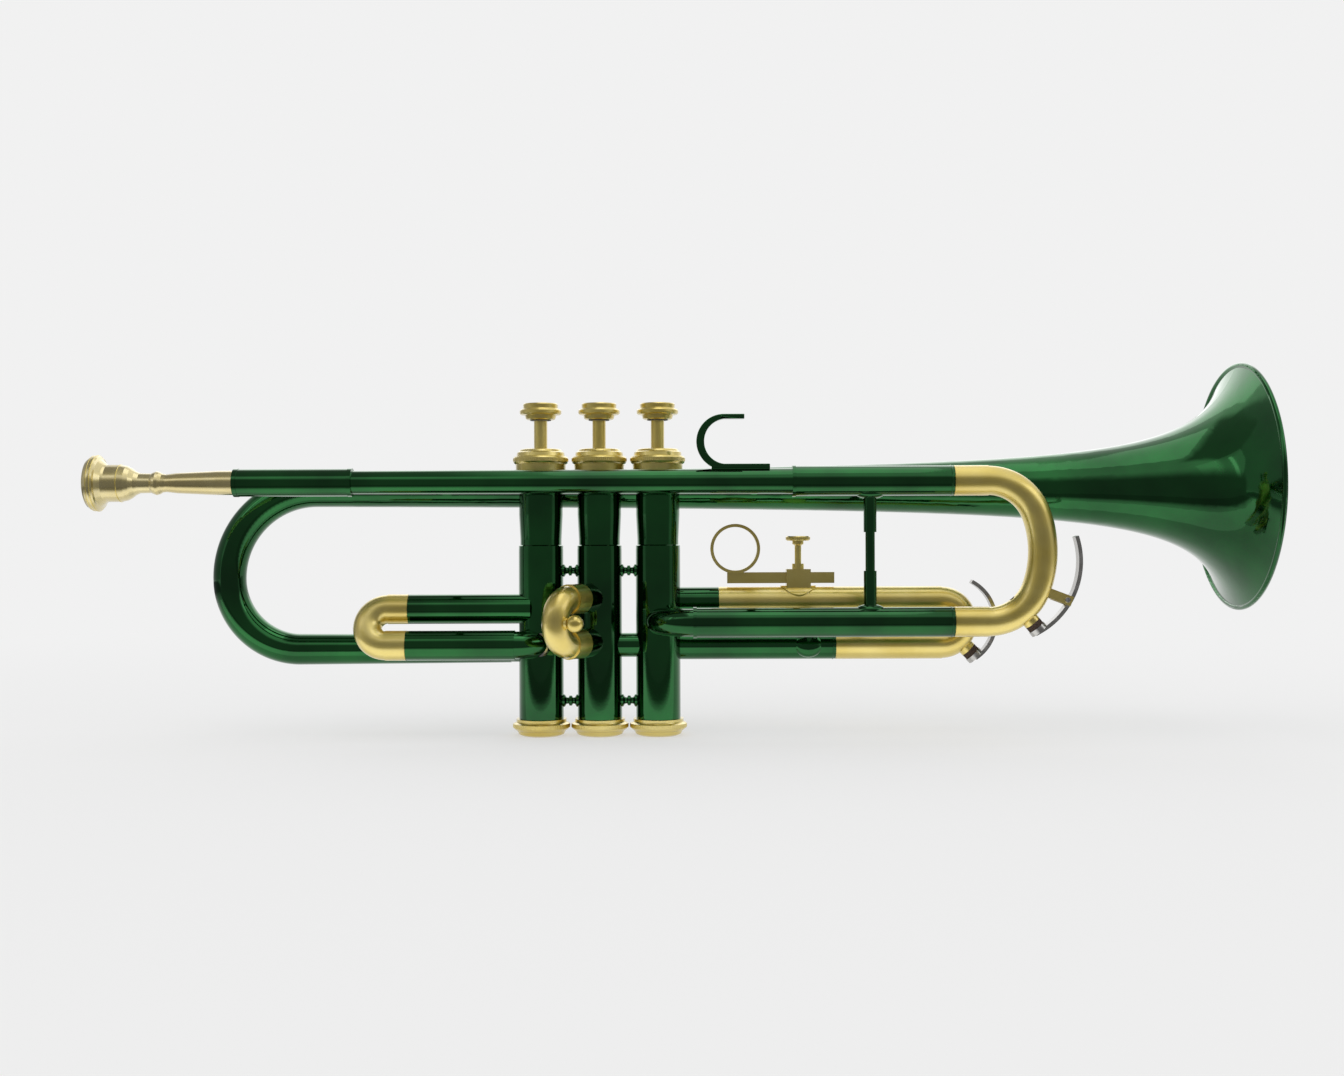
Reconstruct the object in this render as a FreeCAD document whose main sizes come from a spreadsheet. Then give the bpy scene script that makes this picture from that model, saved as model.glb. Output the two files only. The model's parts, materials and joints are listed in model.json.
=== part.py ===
import FreeCAD, Part
import math
import operator
import os
from types import SimpleNamespace

import Sketcher

# Three-valve trumpet, millimetres and degrees.
# X runs towards the bell, Z up towards the finger buttons, and Y to the player's left, where the bell is.
# The origin is the centre of the underside of the second valve's bottom cap.

driving_sizes = {
    # valve casings and balusters
    "valve_spacing": 28.1,
    "casing_diameter": 21.4,
    "casing_bore": 17.6,
    "casing_foot": 3.0,
    "casing_top": 89.4,
    "baluster_bead_diameter": 21.3,
    "baluster_bead_height": 2.0,
    "baluster_waist_diameter": 19.8,
    "baluster_waist_height": 2.6,
    "baluster_swell_height": 12.0,
    "baluster_diameter": 21.0,
    "baluster_bore": 18.8,
    "port_diameter": 11.2,
    "knuckle_diameter": 11.6,
    "knuckle_bore": 10.4,
    "knuckle_low": 43.2,
    "knuckle_high": 55.6,
    "elbow_diameter": 13.2,
    "elbow_radius": 16.6,
    "strut_low": 16.5,
    "strut_high": 79.0,
    "strut_diameter": 6.0,
    # bottom and top caps
    "cap_floor": 2.0,
    "cap_height": 8.0,
    "cap_ring_diameter": 27.2,
    "cap_vent_diameter": 5.0,
    "top_cap_skirt": 6.0,
    "top_cap_plate": 4.3,
    "top_cap_ring_diameter": 26.3,
    "baluster_height": 43.6,
    "thread_diameter": 20.9,
    # pistons, stems and buttons
    "running_gap": 0.03,
    "valve_stroke": 13.6,
    "piston_foot": 22.0,
    "piston_hollow_diameter": 12.0,
    "piston_hollow_depth": 6.0,
    "passage_diameter": 6.6,
    "port_depth": 3.0,
    "guide_clearance": 1.0,
    "guide_width": 3.0,
    "guide_thickness": 2.0,
    "guide_side_gap": 0.3,
    "barrel_diameter": 15.6,
    "barrel_bore": 13.8,
    "stem_plate": 2.4,
    "stem_diameter": 6.4,
    "stem_hole_diameter": 7.0,
    "inner_felt": 2.2,
    "inner_felt_diameter": 14.6,
    "felt_gap": 0.2,
    "button_felt": 1.5,
    "button_felt_proud": 0.3,
    "button_felt_diameter": 10.0,
    "button_height": 7.8,
    "button_diameter": 20.0,
    "button_socket_depth": 3.4,
    "pearl_diameter": 13.6,
    "pearl_thickness": 1.3,
    "spring_diameter": 12.0,
    "spring_wire": 0.9,
    # mouthpiece, receiver and leadpipe
    "mouthpiece_length": 89.9,
    "mouthpiece_diameter": 26.6,
    "mouthpiece_insertion": 22.0,
    "cup_diameter": 16.6,
    "cup_depth": 11.0,
    "throat_diameter": 3.7,
    "backbore_diameter": 8.6,
    "shank_mouth_diameter": 11.4,
    "shank_end_diameter": 10.4,
    "leadpipe_side": 19.0,
    "leadpipe_rise": 66.2,
    "receiver_start": -170.0,
    "receiver_length": 55.3,
    "receiver_diameter": 12.9,
    "receiver_ring_diameter": 13.3,
    "receiver_ring_length": 2.0,
    "receiver_overlap": 14.0,
    "leadpipe_start_diameter": 10.9,
    "leadpipe_end_diameter": 12.0,
    "leadpipe_wall": 0.8,
    # main tuning slide
    "slide_tube": 12.6,
    "slide_bore": 11.7,
    "slide_gap": 0.2,
    "slide_fit": 0.05,
    "sleeve_start": 91.2,
    "sleeve_end": 166.6,
    "sleeve_diameter": 14.1,
    "sleeve_neck": 8.0,
    "sleeve_bead": 1.6,
    "sleeve_bead_proud": 0.35,
    "main_lower_height": 54.8,
    "ferrule_length": 16.2,
    "ferrule_diameter": 14.2,
    "main_leg_length": 60.0,
    "main_corner_radius": 24.0,
    "main_corner_angle": 70.0,
    "crook_diameter": 13.7,
    # first valve slide
    "first_lower_height": 44.0,
    "first_spacing": 16.9,
    "first_upper_side": 4.0,
    "first_lower_side": 11.5,
    "first_sleeve_end": -90.8,
    "first_ferrule_length": 9.8,
    "first_leg_length": 44.0,
    # second valve slide
    "second_lower_height": 45.0,
    "second_spacing": 21.0,
    "second_slide_turn": 30.0,
    "second_sleeve_length": 16.7,
    "second_ferrule_length": 10.3,
    "second_leg_depth": 6.0,
    "second_crook_diameter": 12.9,
    "knob_diameter": 8.0,
    "knob_reach": 10.8,
    "knob_collar_diameter": 5.2,
    # third valve slide
    "third_lower_height": 42.8,
    "third_spacing": 20.9,
    "third_side": 5.0,
    "third_stub_end": 57.2,
    "third_lower_sleeve_end": 113.5,
    "third_crook_start": 165.0,
    "third_leg_length": 62.0,
    "third_pipe_end": 132.0,
    "third_tube": 14.2,
    # bell and its bow
    "bell_side": 21.2,
    "bell_height": 118.9,
    "bell_end": 315.6,
    "bell_diameter": 122.0,
    "bell_bead_diameter": 2.6,
    "bell_face_width": 1.2,
    "bell_throat_radius": 6.22,
    "bell_flare_depth": 23.0,
    "bell_wall": 0.7,
    "bell_start": -140.4,
    "bow_upper_radius": 43.5,
    "bow_lower_radius": 35.3,
    "bow_end_diameter": 13.8,
    # braces between the tubes
    "brace_place": 127.7,
    "brace_socket_diameter": 6.1,
    "brace_socket_length": 17.0,
    "brace_rod_diameter": 4.5,
    "brace_foot_length": 14.5,
    "brace_foot_width": 9.0,
    "brace_foot_height": 1.5,
    "side_brace_place": 100.3,
    "side_brace_foot": 16.0,
    "bell_brace_back": -75.0,
    "bell_brace_front": 75.0,
    # finger hook
    "hook_centre": 59.3,
    "hook_rise": 18.5,
    "hook_radius": 12.9,
    "hook_lip": 9.6,
    "hook_root": 2.5,
    "hook_back": 3.7,
    "hook_tip": 2.3,
    "hook_width": 6.0,
    "hook_base_start": 53.5,
    "hook_base_length": 27.3,
    # finger ring, its clamp and screw
    "ring_centre": 65.4,
    "ring_sink": 0.6,
    "ring_diameter": 24.0,
    "ring_thickness": 1.5,
    "ring_width": 6.0,
    "bar_start": 61.5,
    "bar_end": 113.3,
    "bar_rise": 1.7,
    "bar_height": 5.3,
    "bar_thickness": 2.6,
    "bar_fit": 0.1,
    "clamp_start": 90.0,
    "clamp_length": 11.7,
    "clamp_roof": 1.5,
    "clamp_width": 8.0,
    "clamp_collar_diameter": 5.8,
    "clamp_collar_height": 2.6,
    "saddle_length": 18.0,
    "saddle_width": 16.4,
    "saddle_depth": 32.0,
    "saddle_lift": 12.0,
    "saddle_proud": 0.6,
    "screw_diameter": 3.2,
    "screw_rise": 15.9,
    "screw_head_diameter": 11.7,
    "screw_head_height": 2.2,
    "screw_collar_diameter": 5.5,
    "screw_collar_height": 2.4,
    # water keys
    "key_thickness": 1.8,
    "key_width": 5.6,
    "key_barrel_diameter": 3.6,
    "key_pin_diameter": 1.6,
    "key_lug_thickness": 1.2,
    "key_lug_height": 4.6,
    "key_gap": 0.2,
    "key_cup_diameter": 8.6,
    "key_cork_diameter": 7.8,
    "key_cup_depth": 1.6,
    "key_nipple_diameter": 8.0,
    "key_nipple_height": 1.2,
    "key_drain_diameter": 3.0,
    "main_key_standoff": 7.85,
    "main_key_forward": 5.0,
    "main_key_lift": 4.2,
    "main_key_seat_angle": 40.0,
    "main_key_tip_angle": 18.0,
    "main_key_tail_angle": -64.0,
    "main_key_pivot_angle": -30.0,
    "third_key_standoff": 5.1,
    "third_key_forward": 4.5,
    "third_key_lift": 0.75,
    "third_key_seat_angle": 45.0,
    "third_key_tip_angle": 62.0,
    "third_key_tail_angle": -57.0,
    "third_key_pivot_angle": -2.0,
}


class Size:
    # a number that remembers the sheet's cells that it is worked out from
    def __init__(self, value, text):
        self.value = value
        self.text = text

    def __add__(self, other):
        return worked("+", self, other)

    def __radd__(self, other):
        return worked("+", other, self)

    def __sub__(self, other):
        return worked("-", self, other)

    def __rsub__(self, other):
        return worked("-", other, self)

    def __mul__(self, other):
        return worked("*", self, other)

    def __rmul__(self, other):
        return worked("*", other, self)

    def __truediv__(self, other):
        return worked("/", self, other)

    def __neg__(self):
        return worked("-", 0, self)


signs = {"+": operator.add, "-": operator.sub, "*": operator.mul, "/": operator.truediv}


def as_size(thing):
    if isinstance(thing, Size):
        return thing
    return Size(float(thing), repr(float(thing)))


def worked(sign, left, right):
    left = as_size(left)
    right = as_size(right)
    return Size(signs[sign](left.value, right.value), f"({left.text} {sign} {right.text})")


def sine(angle):
    return Size(math.sin(math.radians(angle.value)), f"sin({angle.text})")


def cosine(angle):
    return Size(math.cos(math.radians(angle.value)), f"cos({angle.text})")


def root(square):
    return Size(math.sqrt(square.value), f"sqrt({square.text})")


doc = FreeCAD.newDocument("Trumpet")
sheet = doc.addObject("Spreadsheet::Sheet", "Sizes")
for row, (name, value) in enumerate(driving_sizes.items(), start=1):
    sheet.set(f"A{row}", name)
    sheet.set(f"B{row}", str(value))
    sheet.setAlias(f"B{row}", name)
doc.recompute()
size = SimpleNamespace(**{name: Size(value, f"Sizes.{name}") for name, value in driving_sizes.items()})

# directions that a piece's own Z, or X, Y and Z, is turned to
upright = FreeCAD.Rotation()
along_x = FreeCAD.Rotation(FreeCAD.Vector(0, 1, 0), 90)
along_y = FreeCAD.Rotation(FreeCAD.Vector(1, 0, 0), -90)
facing_y = FreeCAD.Rotation(FreeCAD.Vector(1, 0, 0), 90)

nodes = {}


def node(name, thing):
    thing.Label = name
    nodes[name] = thing
    return thing


def put(thing, at, turn=upright):
    places = [as_size(amount) for amount in at]
    thing.Placement = FreeCAD.Placement(FreeCAD.Vector(*[place.value for place in places]), turn)
    for axis, place in zip("xyz", places):
        thing.setExpression(f"Placement.Base.{axis}", place.text)
    return thing


def sketch_on(body, name, role):
    sketch = body.newObject("Sketcher::SketchObject", name)
    plane = next(item for item in body.Origin.OriginFeatures if item.Role == role)
    sketch.AttachmentSupport = [(plane, "")]
    sketch.MapMode = "FlatFace"
    return sketch


def hold(sketch, kind, *target):
    # a dimension of a sketch, tied to the sheet
    amount = target[-1]
    index = sketch.addConstraint(Sketcher.Constraint(kind, *target[:-1], amount.value))
    sketch.setExpression(f"Constraints[{index}]", amount.text)


def pin_corner(sketch, edge, end, across, up):
    if across.text == "0.0":
        sketch.addConstraint(Sketcher.Constraint("PointOnObject", edge, end, -2))
    else:
        hold(sketch, "DistanceX", -1, 1, edge, end, across)
    if up.text == "0.0":
        sketch.addConstraint(Sketcher.Constraint("PointOnObject", edge, end, -1))
    else:
        hold(sketch, "DistanceY", -1, 1, edge, end, up)


def bend_between(start, finish, bend):
    # the short arc that turns left for a positive radius and right for a negative one
    run_x = finish.x - start.x
    run_y = finish.y - start.y
    chord = math.hypot(run_x, run_y)
    side = 1 if bend > 0 else -1
    lift = side * math.sqrt(max(bend * bend - chord * chord / 4, 0))
    centre = FreeCAD.Vector(
        (start.x + finish.x) / 2 - run_y / chord * lift, (start.y + finish.y) / 2 + run_x / chord * lift, 0
    )
    first, last = (start, finish) if bend > 0 else (finish, start)
    angles = [math.atan2(point.y - centre.y, point.x - centre.x) for point in (first, last)]
    if angles[1] < angles[0]:
        angles[1] += 2 * math.pi
    circle = Part.Circle(centre, FreeCAD.Vector(0, 0, 1), abs(bend))
    return Part.ArcOfCircle(circle, angles[0], angles[1])


def draw(sketch, outline, closed=True):
    # each corner is (across, up), or (across, up, bend) where an arc of that radius leads to it
    corners = [(as_size(corner[0]), as_size(corner[1])) for corner in outline]
    points = [FreeCAD.Vector(across.value, up.value, 0) for across, up in corners]
    count = len(corners)
    ends = []
    for start in range(count if closed else count - 1):
        finish = (start + 1) % count
        bend = outline[finish][2] if len(outline[finish]) > 2 else None
        if bend is None:
            edge = sketch.addGeometry(Part.LineSegment(points[start], points[finish]), False)
            ends.append((1, 2))
        else:
            edge = sketch.addGeometry(bend_between(points[start], points[finish], bend.value), False)
            hold(sketch, "Radius", edge, bend if bend.value > 0 else -bend)
            ends.append((1, 2) if bend.value > 0 else (2, 1))
    for edge in range(len(ends)):
        if closed or edge > 0:
            before = edge - 1 if edge else len(ends) - 1
            sketch.addConstraint(Sketcher.Constraint("Coincident", before, ends[before][1], edge, ends[edge][0]))
        pin_corner(sketch, edge, ends[edge][0], *corners[edge])
    if not closed:
        pin_corner(sketch, len(ends) - 1, ends[-1][1], *corners[-1])


def turned(name, outline, at=(0, 0, 0), turn=upright):
    # a lathe-turned piece: the outline's corners are (radius, height) about its own Z
    body = doc.addObject("PartDesign::Body", name)
    sketch = sketch_on(body, f"{name}_outline", "XZ_Plane")
    draw(sketch, outline)
    whole = body.newObject("PartDesign::Revolution", f"{name}_turning")
    whole.Profile = sketch
    whole.ReferenceAxis = (sketch, ["V_Axis"])
    whole.Angle = 360
    return put(body, at, turn)


def tube(name, outer, inner, start, finish, at=(0, 0, 0), turn=upright):
    outline = [(inner / 2, start), (outer / 2, start), (outer / 2, finish), (inner / 2, finish)]
    return turned(name, outline, at, turn)


def flat(name, outline, width, at=(0, 0, 0), turn=upright):
    # a flat strip or plate: the outline's corners are (X, Z), and it is equally thick on both sides of Y
    body = doc.addObject("PartDesign::Body", name)
    sketch = sketch_on(body, f"{name}_outline", "XZ_Plane")
    draw(sketch, outline)
    plate = body.newObject("PartDesign::Pad", f"{name}_pad")
    plate.Profile = sketch
    plate.Midplane = True
    plate.setExpression("Length", as_size(width).text)
    return put(body, at, turn)


def bent(name, path, outer, inner, at, turn=upright):
    # a bent tube: its path starts at its own origin and heads along its own X, and rises along Z
    body = doc.addObject("PartDesign::Body", name)
    route = sketch_on(body, f"{name}_route", "XZ_Plane")
    draw(route, path, closed=False)
    ring = sketch_on(body, f"{name}_section", "YZ_Plane")
    for diameter in (outer, inner):
        radius = diameter / 2
        circle = Part.Circle(FreeCAD.Vector(0, 0, 0), FreeCAD.Vector(0, 0, 1), radius.value)
        edge = ring.addGeometry(circle, False)
        ring.addConstraint(Sketcher.Constraint("Coincident", edge, 3, -1, 1))
        hold(ring, "Radius", edge, radius)
    doc.recompute()
    pipe = body.newObject("PartDesign::AdditivePipe", f"{name}_pipe")
    pipe.Profile = ring
    pipe.Spine = (route, [])
    return put(body, at, turn)


def rod(name, diameter, length, at=(0, 0, 0), turn=upright):
    thing = doc.addObject("Part::Cylinder", name)
    thing.setExpression("Radius", (as_size(diameter) / 2).text)
    thing.setExpression("Height", as_size(length).text)
    return put(thing, at, turn)


def block(name, low, high):
    thing = doc.addObject("Part::Box", name)
    for side, start, finish in zip(("Length", "Width", "Height"), low, high):
        thing.setExpression(side, (as_size(finish) - start).text)
    return put(thing, low)


def group(name, pieces):
    thing = doc.addObject("Part::Compound", name)
    thing.Links = pieces
    return thing


def fused(name, pieces):
    thing = doc.addObject("Part::MultiFuse", name)
    thing.Shapes = pieces
    thing.Refine = True
    return thing


def cut(name, base, tools):
    thing = doc.addObject("Part::Cut", name)
    thing.Base = base
    thing.Tool = tools[0] if len(tools) == 1 else group(f"{name}_tools", tools)
    return thing


def shaped(name, shape, at=(0, 0, 0), turn=upright):
    thing = doc.addObject("Part::Feature", name)
    thing.Shape = shape
    return put(thing, at, turn)


# Valves: three casings in a row, each with a piston that drops against its spring

numbers = ("1", "2", "3")
valve_place = {number: (numbers.index(number) - 1) * size.valve_spacing for number in numbers}
baluster_top = size.casing_top + size.baluster_height
leadpipe_height = size.main_lower_height + size.leadpipe_rise
first_upper_height = size.first_lower_height + size.first_spacing
second_upper_height = size.second_lower_height + size.second_spacing
third_upper_height = size.third_lower_height + size.third_spacing
casing_radius = size.casing_diameter / 2
first_turn = 180 + math.degrees(math.asin(size.first_upper_side.value / casing_radius.value))
third_turn = math.degrees(math.asin(size.third_side.value / casing_radius.value))
second_turn = -90 - size.second_slide_turn.value
bow_height = size.bell_height - size.bow_upper_radius - size.bow_lower_radius

# where the air goes at each valve: straight on when it is up, round the slide when it is down
# each port is the direction that it faces, from X towards Y, and its height
air_ports = {
    "1": {
        "from": (0, size.knuckle_high),
        "on": (90, bow_height),
        "slide_in": (first_turn, first_upper_height),
        "slide_out": (-90, size.first_lower_height),
    },
    "2": {
        "from": (0, size.knuckle_low),
        "on": (180, size.knuckle_high),
        "slide_in": (second_turn, second_upper_height),
        "slide_out": (second_turn, size.second_lower_height),
    },
    "3": {
        "from": (-90, size.main_lower_height),
        "on": (180, size.knuckle_low),
        "slide_in": (third_turn, third_upper_height),
        "slide_out": (third_turn, size.third_lower_height),
    },
}


def sideways(angle):
    return FreeCAD.Rotation(FreeCAD.Vector(0, 0, 1), angle) * along_x


casing_space = {}
for number in numbers:
    place = (valve_place[number], 0, 0)
    casing_space[number] = rod(f"casing_{number}_space", size.casing_diameter, baluster_top, place)
    wall = tube(f"casing_{number}_wall", size.casing_diameter, size.casing_bore,
                size.casing_foot, size.casing_top, place)
    holes = [
        rod(f"casing_{number}_{use}_hole", size.port_diameter, size.casing_diameter,
            (valve_place[number], 0, height), sideways(angle))
        for use, (angle, height) in air_ports[number].items()
    ]
    node(f"valve_casing_{number}", cut(f"casing_{number}_ported", wall, holes))

bead_top = size.casing_top + size.baluster_bead_height
waist_top = bead_top + size.baluster_waist_height
skirt_bottom = baluster_top - size.top_cap_skirt
balusters = [
    turned(f"baluster_{number}", [
        (size.baluster_bore / 2, size.casing_top),
        (size.baluster_bead_diameter / 2, size.casing_top),
        (size.baluster_bead_diameter / 2, bead_top - size.baluster_bead_height / 4),
        (size.baluster_waist_diameter / 2, bead_top),
        (size.baluster_waist_diameter / 2, waist_top),
        (size.baluster_diameter / 2, waist_top + size.baluster_swell_height),
        (size.baluster_diameter / 2, skirt_bottom),
        (size.thread_diameter / 2, skirt_bottom),
        (size.thread_diameter / 2, baluster_top),
        (size.baluster_bore / 2, baluster_top),
    ], (valve_place[number], 0, 0))
    for number in numbers
]
node("casing_balusters", group("balusters", balusters))

# the outline of a cap's rim, as shares of the ring's radius and of the cap's height
bottom_cap_shares = [(0.68, 0.0), (0.80, 0.09), (0.86, 0.30), (0.93, 0.36), (1.0, 0.48), (1.0, 0.72),
                     (0.90, 0.80), (0.885, 0.86), (0.885, 1.0)]
top_cap_shares = [(0.90, 0.0), (0.92, 0.30), (0.98, 0.35), (1.0, 0.41), (1.0, 0.58), (0.97, 0.64), (0.88, 0.68),
                  (0.86, 0.84), (0.79, 0.89), (0.75, 0.97), (0.70, 1.0)]

cap_ring = size.cap_ring_diameter / 2
top_ring = size.top_cap_ring_diameter / 2
top_cap_top = baluster_top + size.top_cap_plate
top_cap_height = size.top_cap_skirt + size.top_cap_plate
bottom_caps = []
top_caps = []
for number in numbers:
    place = (valve_place[number], 0, 0)
    bottom_caps.append(turned(
        f"bottom_cap_{number}",
        [(size.cap_vent_diameter / 2, 0)]
        + [(cap_ring * across, size.cap_height * up) for across, up in bottom_cap_shares]
        + [(casing_radius, size.cap_height), (casing_radius, size.casing_foot),
           (size.casing_bore / 2, size.casing_foot), (size.casing_bore / 2, size.cap_floor),
           (size.cap_vent_diameter / 2, size.cap_floor)], place))
    top_caps.append(turned(
        f"top_cap_{number}",
        [(top_ring * across, skirt_bottom + top_cap_height * up) for across, up in top_cap_shares]
        + [(size.stem_hole_diameter / 2, top_cap_top), (size.stem_hole_diameter / 2, baluster_top),
           (size.thread_diameter / 2, baluster_top), (size.thread_diameter / 2, skirt_bottom)], place))
node("bottom_caps", group("bottom_cap_set", bottom_caps))
node("top_caps", group("top_cap_set", top_caps))

# the guide bar crosses each spring barrel and rests on the top of the casing
piston_radius = size.casing_bore / 2 - size.running_gap
piston_top = size.casing_top - size.guide_clearance
guide_top = size.casing_top + size.guide_thickness
plate_top = baluster_top - size.felt_gap - size.inner_felt
plate_bottom = plate_top - size.stem_plate
button_foot = top_cap_top + size.felt_gap + size.valve_stroke + size.button_felt_proud
felt_bottom = button_foot - size.button_felt_proud
felt_top = felt_bottom + size.button_felt
guides = []
for number in numbers:
    bar = block(f"guide_{number}_bar",
                (valve_place[number] - size.baluster_bore / 2, -size.guide_width / 2, size.casing_top),
                (valve_place[number] + size.baluster_bore / 2, size.guide_width / 2, guide_top))
    bore = rod(f"guide_{number}_bore", size.baluster_bore, baluster_top, (valve_place[number], 0, 0))
    guide = doc.addObject("Part::Common", f"guide_{number}")
    guide.Base = bar
    guide.Tool = bore
    guides.append(guide)
    node(f"valve_spring_{number}", tube(
        f"spring_{number}", size.spring_diameter, size.spring_diameter - size.spring_wire * 2,
        guide_top, plate_bottom, (valve_place[number], 0, 0)))
node("valve_guides", group("guide_set", guides))

# the outline of a finger button, as shares of its radius and its height
button_shares = [(0.62, 0.0), (0.71, 0.06), (0.75, 0.27), (0.93, 0.31), (0.98, 0.36), (1.0, 0.42), (1.0, 0.56),
                 (0.96, 0.62), (0.85, 0.66), (0.83, 0.71), (0.84, 0.94), (0.80, 1.0)]

for number in numbers:
    place = (valve_place[number], 0, 0)
    ported = []
    for pair, raise_by in (("from", "on"), 0), (("slide_in", "from"), size.valve_stroke), \
            (("slide_out", "on"), size.valve_stroke):
        ends = [air_ports[number][use] for use in pair]
        middle = (ends[0][1] + ends[1][1]) / 2 + raise_by
        for use, (angle, height) in zip(pair, ends):
            name = f"piston_{number}_{'down' if raise_by else 'up'}_{pair[0]}_{use}"
            rise = height + raise_by - middle
            lean = math.degrees(math.atan2(rise.value, piston_radius.value))
            towards = FreeCAD.Rotation(FreeCAD.Vector(0, 0, 1), angle) * FreeCAD.Rotation(
                FreeCAD.Vector(0, 1, 0), 90 - lean)
            ported.append(rod(f"{name}_way", size.passage_diameter, size.casing_bore,
                              (valve_place[number], 0, middle), towards))
            mouth = tube(f"{name}_mouth", size.port_diameter, 0, piston_radius - size.port_depth,
                         size.casing_diameter, (valve_place[number], 0, height + raise_by), sideways(angle))
            ported.append(mouth)
        ported.append(doc.addObject("Part::Sphere", f"piston_{number}_{pair[0]}_turn"))
        ported[-1].setExpression("Radius", (size.passage_diameter / 2).text)
        put(ported[-1], (valve_place[number], 0, middle))
    slot_top = guide_top + size.valve_stroke + size.guide_side_gap
    slot_half = size.guide_width / 2 + size.guide_side_gap
    ported.append(block(f"piston_{number}_slot",
                        (valve_place[number] - size.barrel_diameter, -slot_half, piston_top),
                        (valve_place[number] + size.barrel_diameter, slot_half, slot_top)))
    barrel = turned(f"piston_{number}_barrel", [
        (0, size.piston_foot + size.piston_hollow_depth),
        (size.piston_hollow_diameter / 2, size.piston_foot + size.piston_hollow_depth),
        (size.piston_hollow_diameter / 2, size.piston_foot),
        (piston_radius, size.piston_foot),
        (piston_radius, piston_top),
        (size.barrel_diameter / 2, piston_top),
        (size.barrel_diameter / 2, plate_top),
        (size.barrel_bore / 2, plate_top),
        (size.barrel_bore / 2, piston_top),
        (0, piston_top),
    ], place)
    node(f"piston_{number}", cut(f"piston_{number}_ported", barrel, ported))
    node(f"stem_{number}", turned(f"stem_{number}", [
        (0, plate_bottom),
        (size.barrel_bore / 2, plate_bottom),
        (size.barrel_bore / 2, plate_top),
        (size.stem_diameter / 2, plate_top),
        (size.stem_diameter / 2, button_foot + size.button_socket_depth),
        (0, button_foot + size.button_socket_depth),
    ], place))
    button_top = button_foot + size.button_height
    button_radius = size.button_diameter / 2
    node(f"button_{number}", turned(
        f"button_{number}",
        [(size.button_felt_diameter / 2, button_foot)]
        + [(button_radius * across, button_foot + size.button_height * up) for across, up in button_shares]
        + [(size.pearl_diameter / 2, button_top), (size.pearl_diameter / 2, button_top - size.pearl_thickness),
           (0, button_top - size.pearl_thickness), (0, button_foot + size.button_socket_depth),
           (size.stem_diameter / 2, button_foot + size.button_socket_depth), (size.stem_diameter / 2, felt_top),
           (size.button_felt_diameter / 2, felt_top)], place))
    pearl_edge = size.pearl_thickness / 3
    node(f"pearl_{number}", turned(f"pearl_{number}", [
        (0, button_top - size.pearl_thickness),
        (size.pearl_diameter / 2, button_top - size.pearl_thickness),
        (size.pearl_diameter / 2, button_top - pearl_edge),
        (size.pearl_diameter / 2 - pearl_edge * 2, button_top),
        (0, button_top),
    ], place))
    node(f"felts_{number}", group(f"felt_set_{number}", [
        tube(f"inner_felt_{number}", size.inner_felt_diameter, size.stem_diameter,
             plate_top, plate_top + size.inner_felt, place),
        tube(f"button_felt_{number}", size.button_felt_diameter, size.stem_diameter,
             felt_bottom, felt_top, place),
    ]))

# Bent tubes between the valves, and where the leadpipe's and the bell's tubes reach them

turn_in = FreeCAD.Rotation(FreeCAD.Vector(1, 0, 0), FreeCAD.Vector(0, 0, -1), FreeCAD.Vector(0, 1, 0), "XYZ")
turn_out = FreeCAD.Rotation(FreeCAD.Vector(1, 0, 0), FreeCAD.Vector(0, 0, 1), FreeCAD.Vector(0, -1, 0), "XYZ")
turn_home = FreeCAD.Rotation(FreeCAD.Vector(-1, 0, 0), FreeCAD.Vector(0, 0, 1), FreeCAD.Vector(0, 1, 0), "XYZ")


def elbow(name, valve, side, height, radius, heading, turn):
    # from the tube beside the casing, round a quarter turn, and up to the casing's wall
    start = valve_place[valve] - heading * radius
    path = [(0, 0), (radius, radius, radius)]
    if side.value != radius.value:
        path.append((radius, side if side.value > 0 else -side))
    at = (start, -side if turn is not turn_out else side, height)
    return cut(f"{name}_seated", bent(name, path, size.elbow_diameter, size.slide_bore, at, turn),
               [casing_space[valve]])


def knuckle(name, valve, neighbour, height):
    at = (valve_place[valve], 0, height)
    return cut(f"{name}_seated", tube(name, size.knuckle_diameter, size.knuckle_bore, 0, size.valve_spacing,
                                      at, along_x), [casing_space[valve], casing_space[neighbour]])


# a turned strut, as shares of its radius and of the way from one casing's axis to the next
strut_shares = [(1.0, 0.36), (1.0, 0.40), (0.55, 0.43), (0.5, 0.46), (0.82, 0.48), (0.82, 0.52), (0.5, 0.54),
                (0.55, 0.57), (1.0, 0.60), (1.0, 0.64)]


def strut(name, valve, neighbour, height):
    outline = [(size.strut_diameter / 2 * across, size.valve_spacing * along) for across, along in strut_shares]
    ends = [(0, size.valve_spacing * strut_shares[-1][1]), (0, size.valve_spacing * strut_shares[0][1])]
    return cut(f"{name}_seated", turned(name, outline + ends, (valve_place[valve], 0, height), along_x),
               [casing_space[valve], casing_space[neighbour]])


node("valve_knuckles", group("knuckle_set", [
    knuckle("low_knuckle", "2", "3", size.knuckle_low),
    knuckle("high_knuckle", "1", "2", size.knuckle_high),
]))
node("casing_braces", group("strut_set", [
    strut(f"strut_{valve}_{name}", valve, neighbour, height)
    for valve, neighbour in (("1", "2"), ("2", "3"))
    for name, height in (("low", size.strut_low), ("high", size.strut_high))
]))
node("valve_elbows", group("elbow_set", [
    elbow("main_elbow", "3", size.leadpipe_side, size.main_lower_height, size.elbow_radius, -1, turn_home),
    elbow("bow_elbow", "1", size.bell_side, bow_height, size.elbow_radius, 1, turn_out),
    elbow("first_elbow", "1", size.first_lower_side, size.first_lower_height, size.first_lower_side, 1, turn_in),
]))

# Mouthpiece, receiver and leadpipe, on the side nearer the player's right hand

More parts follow.
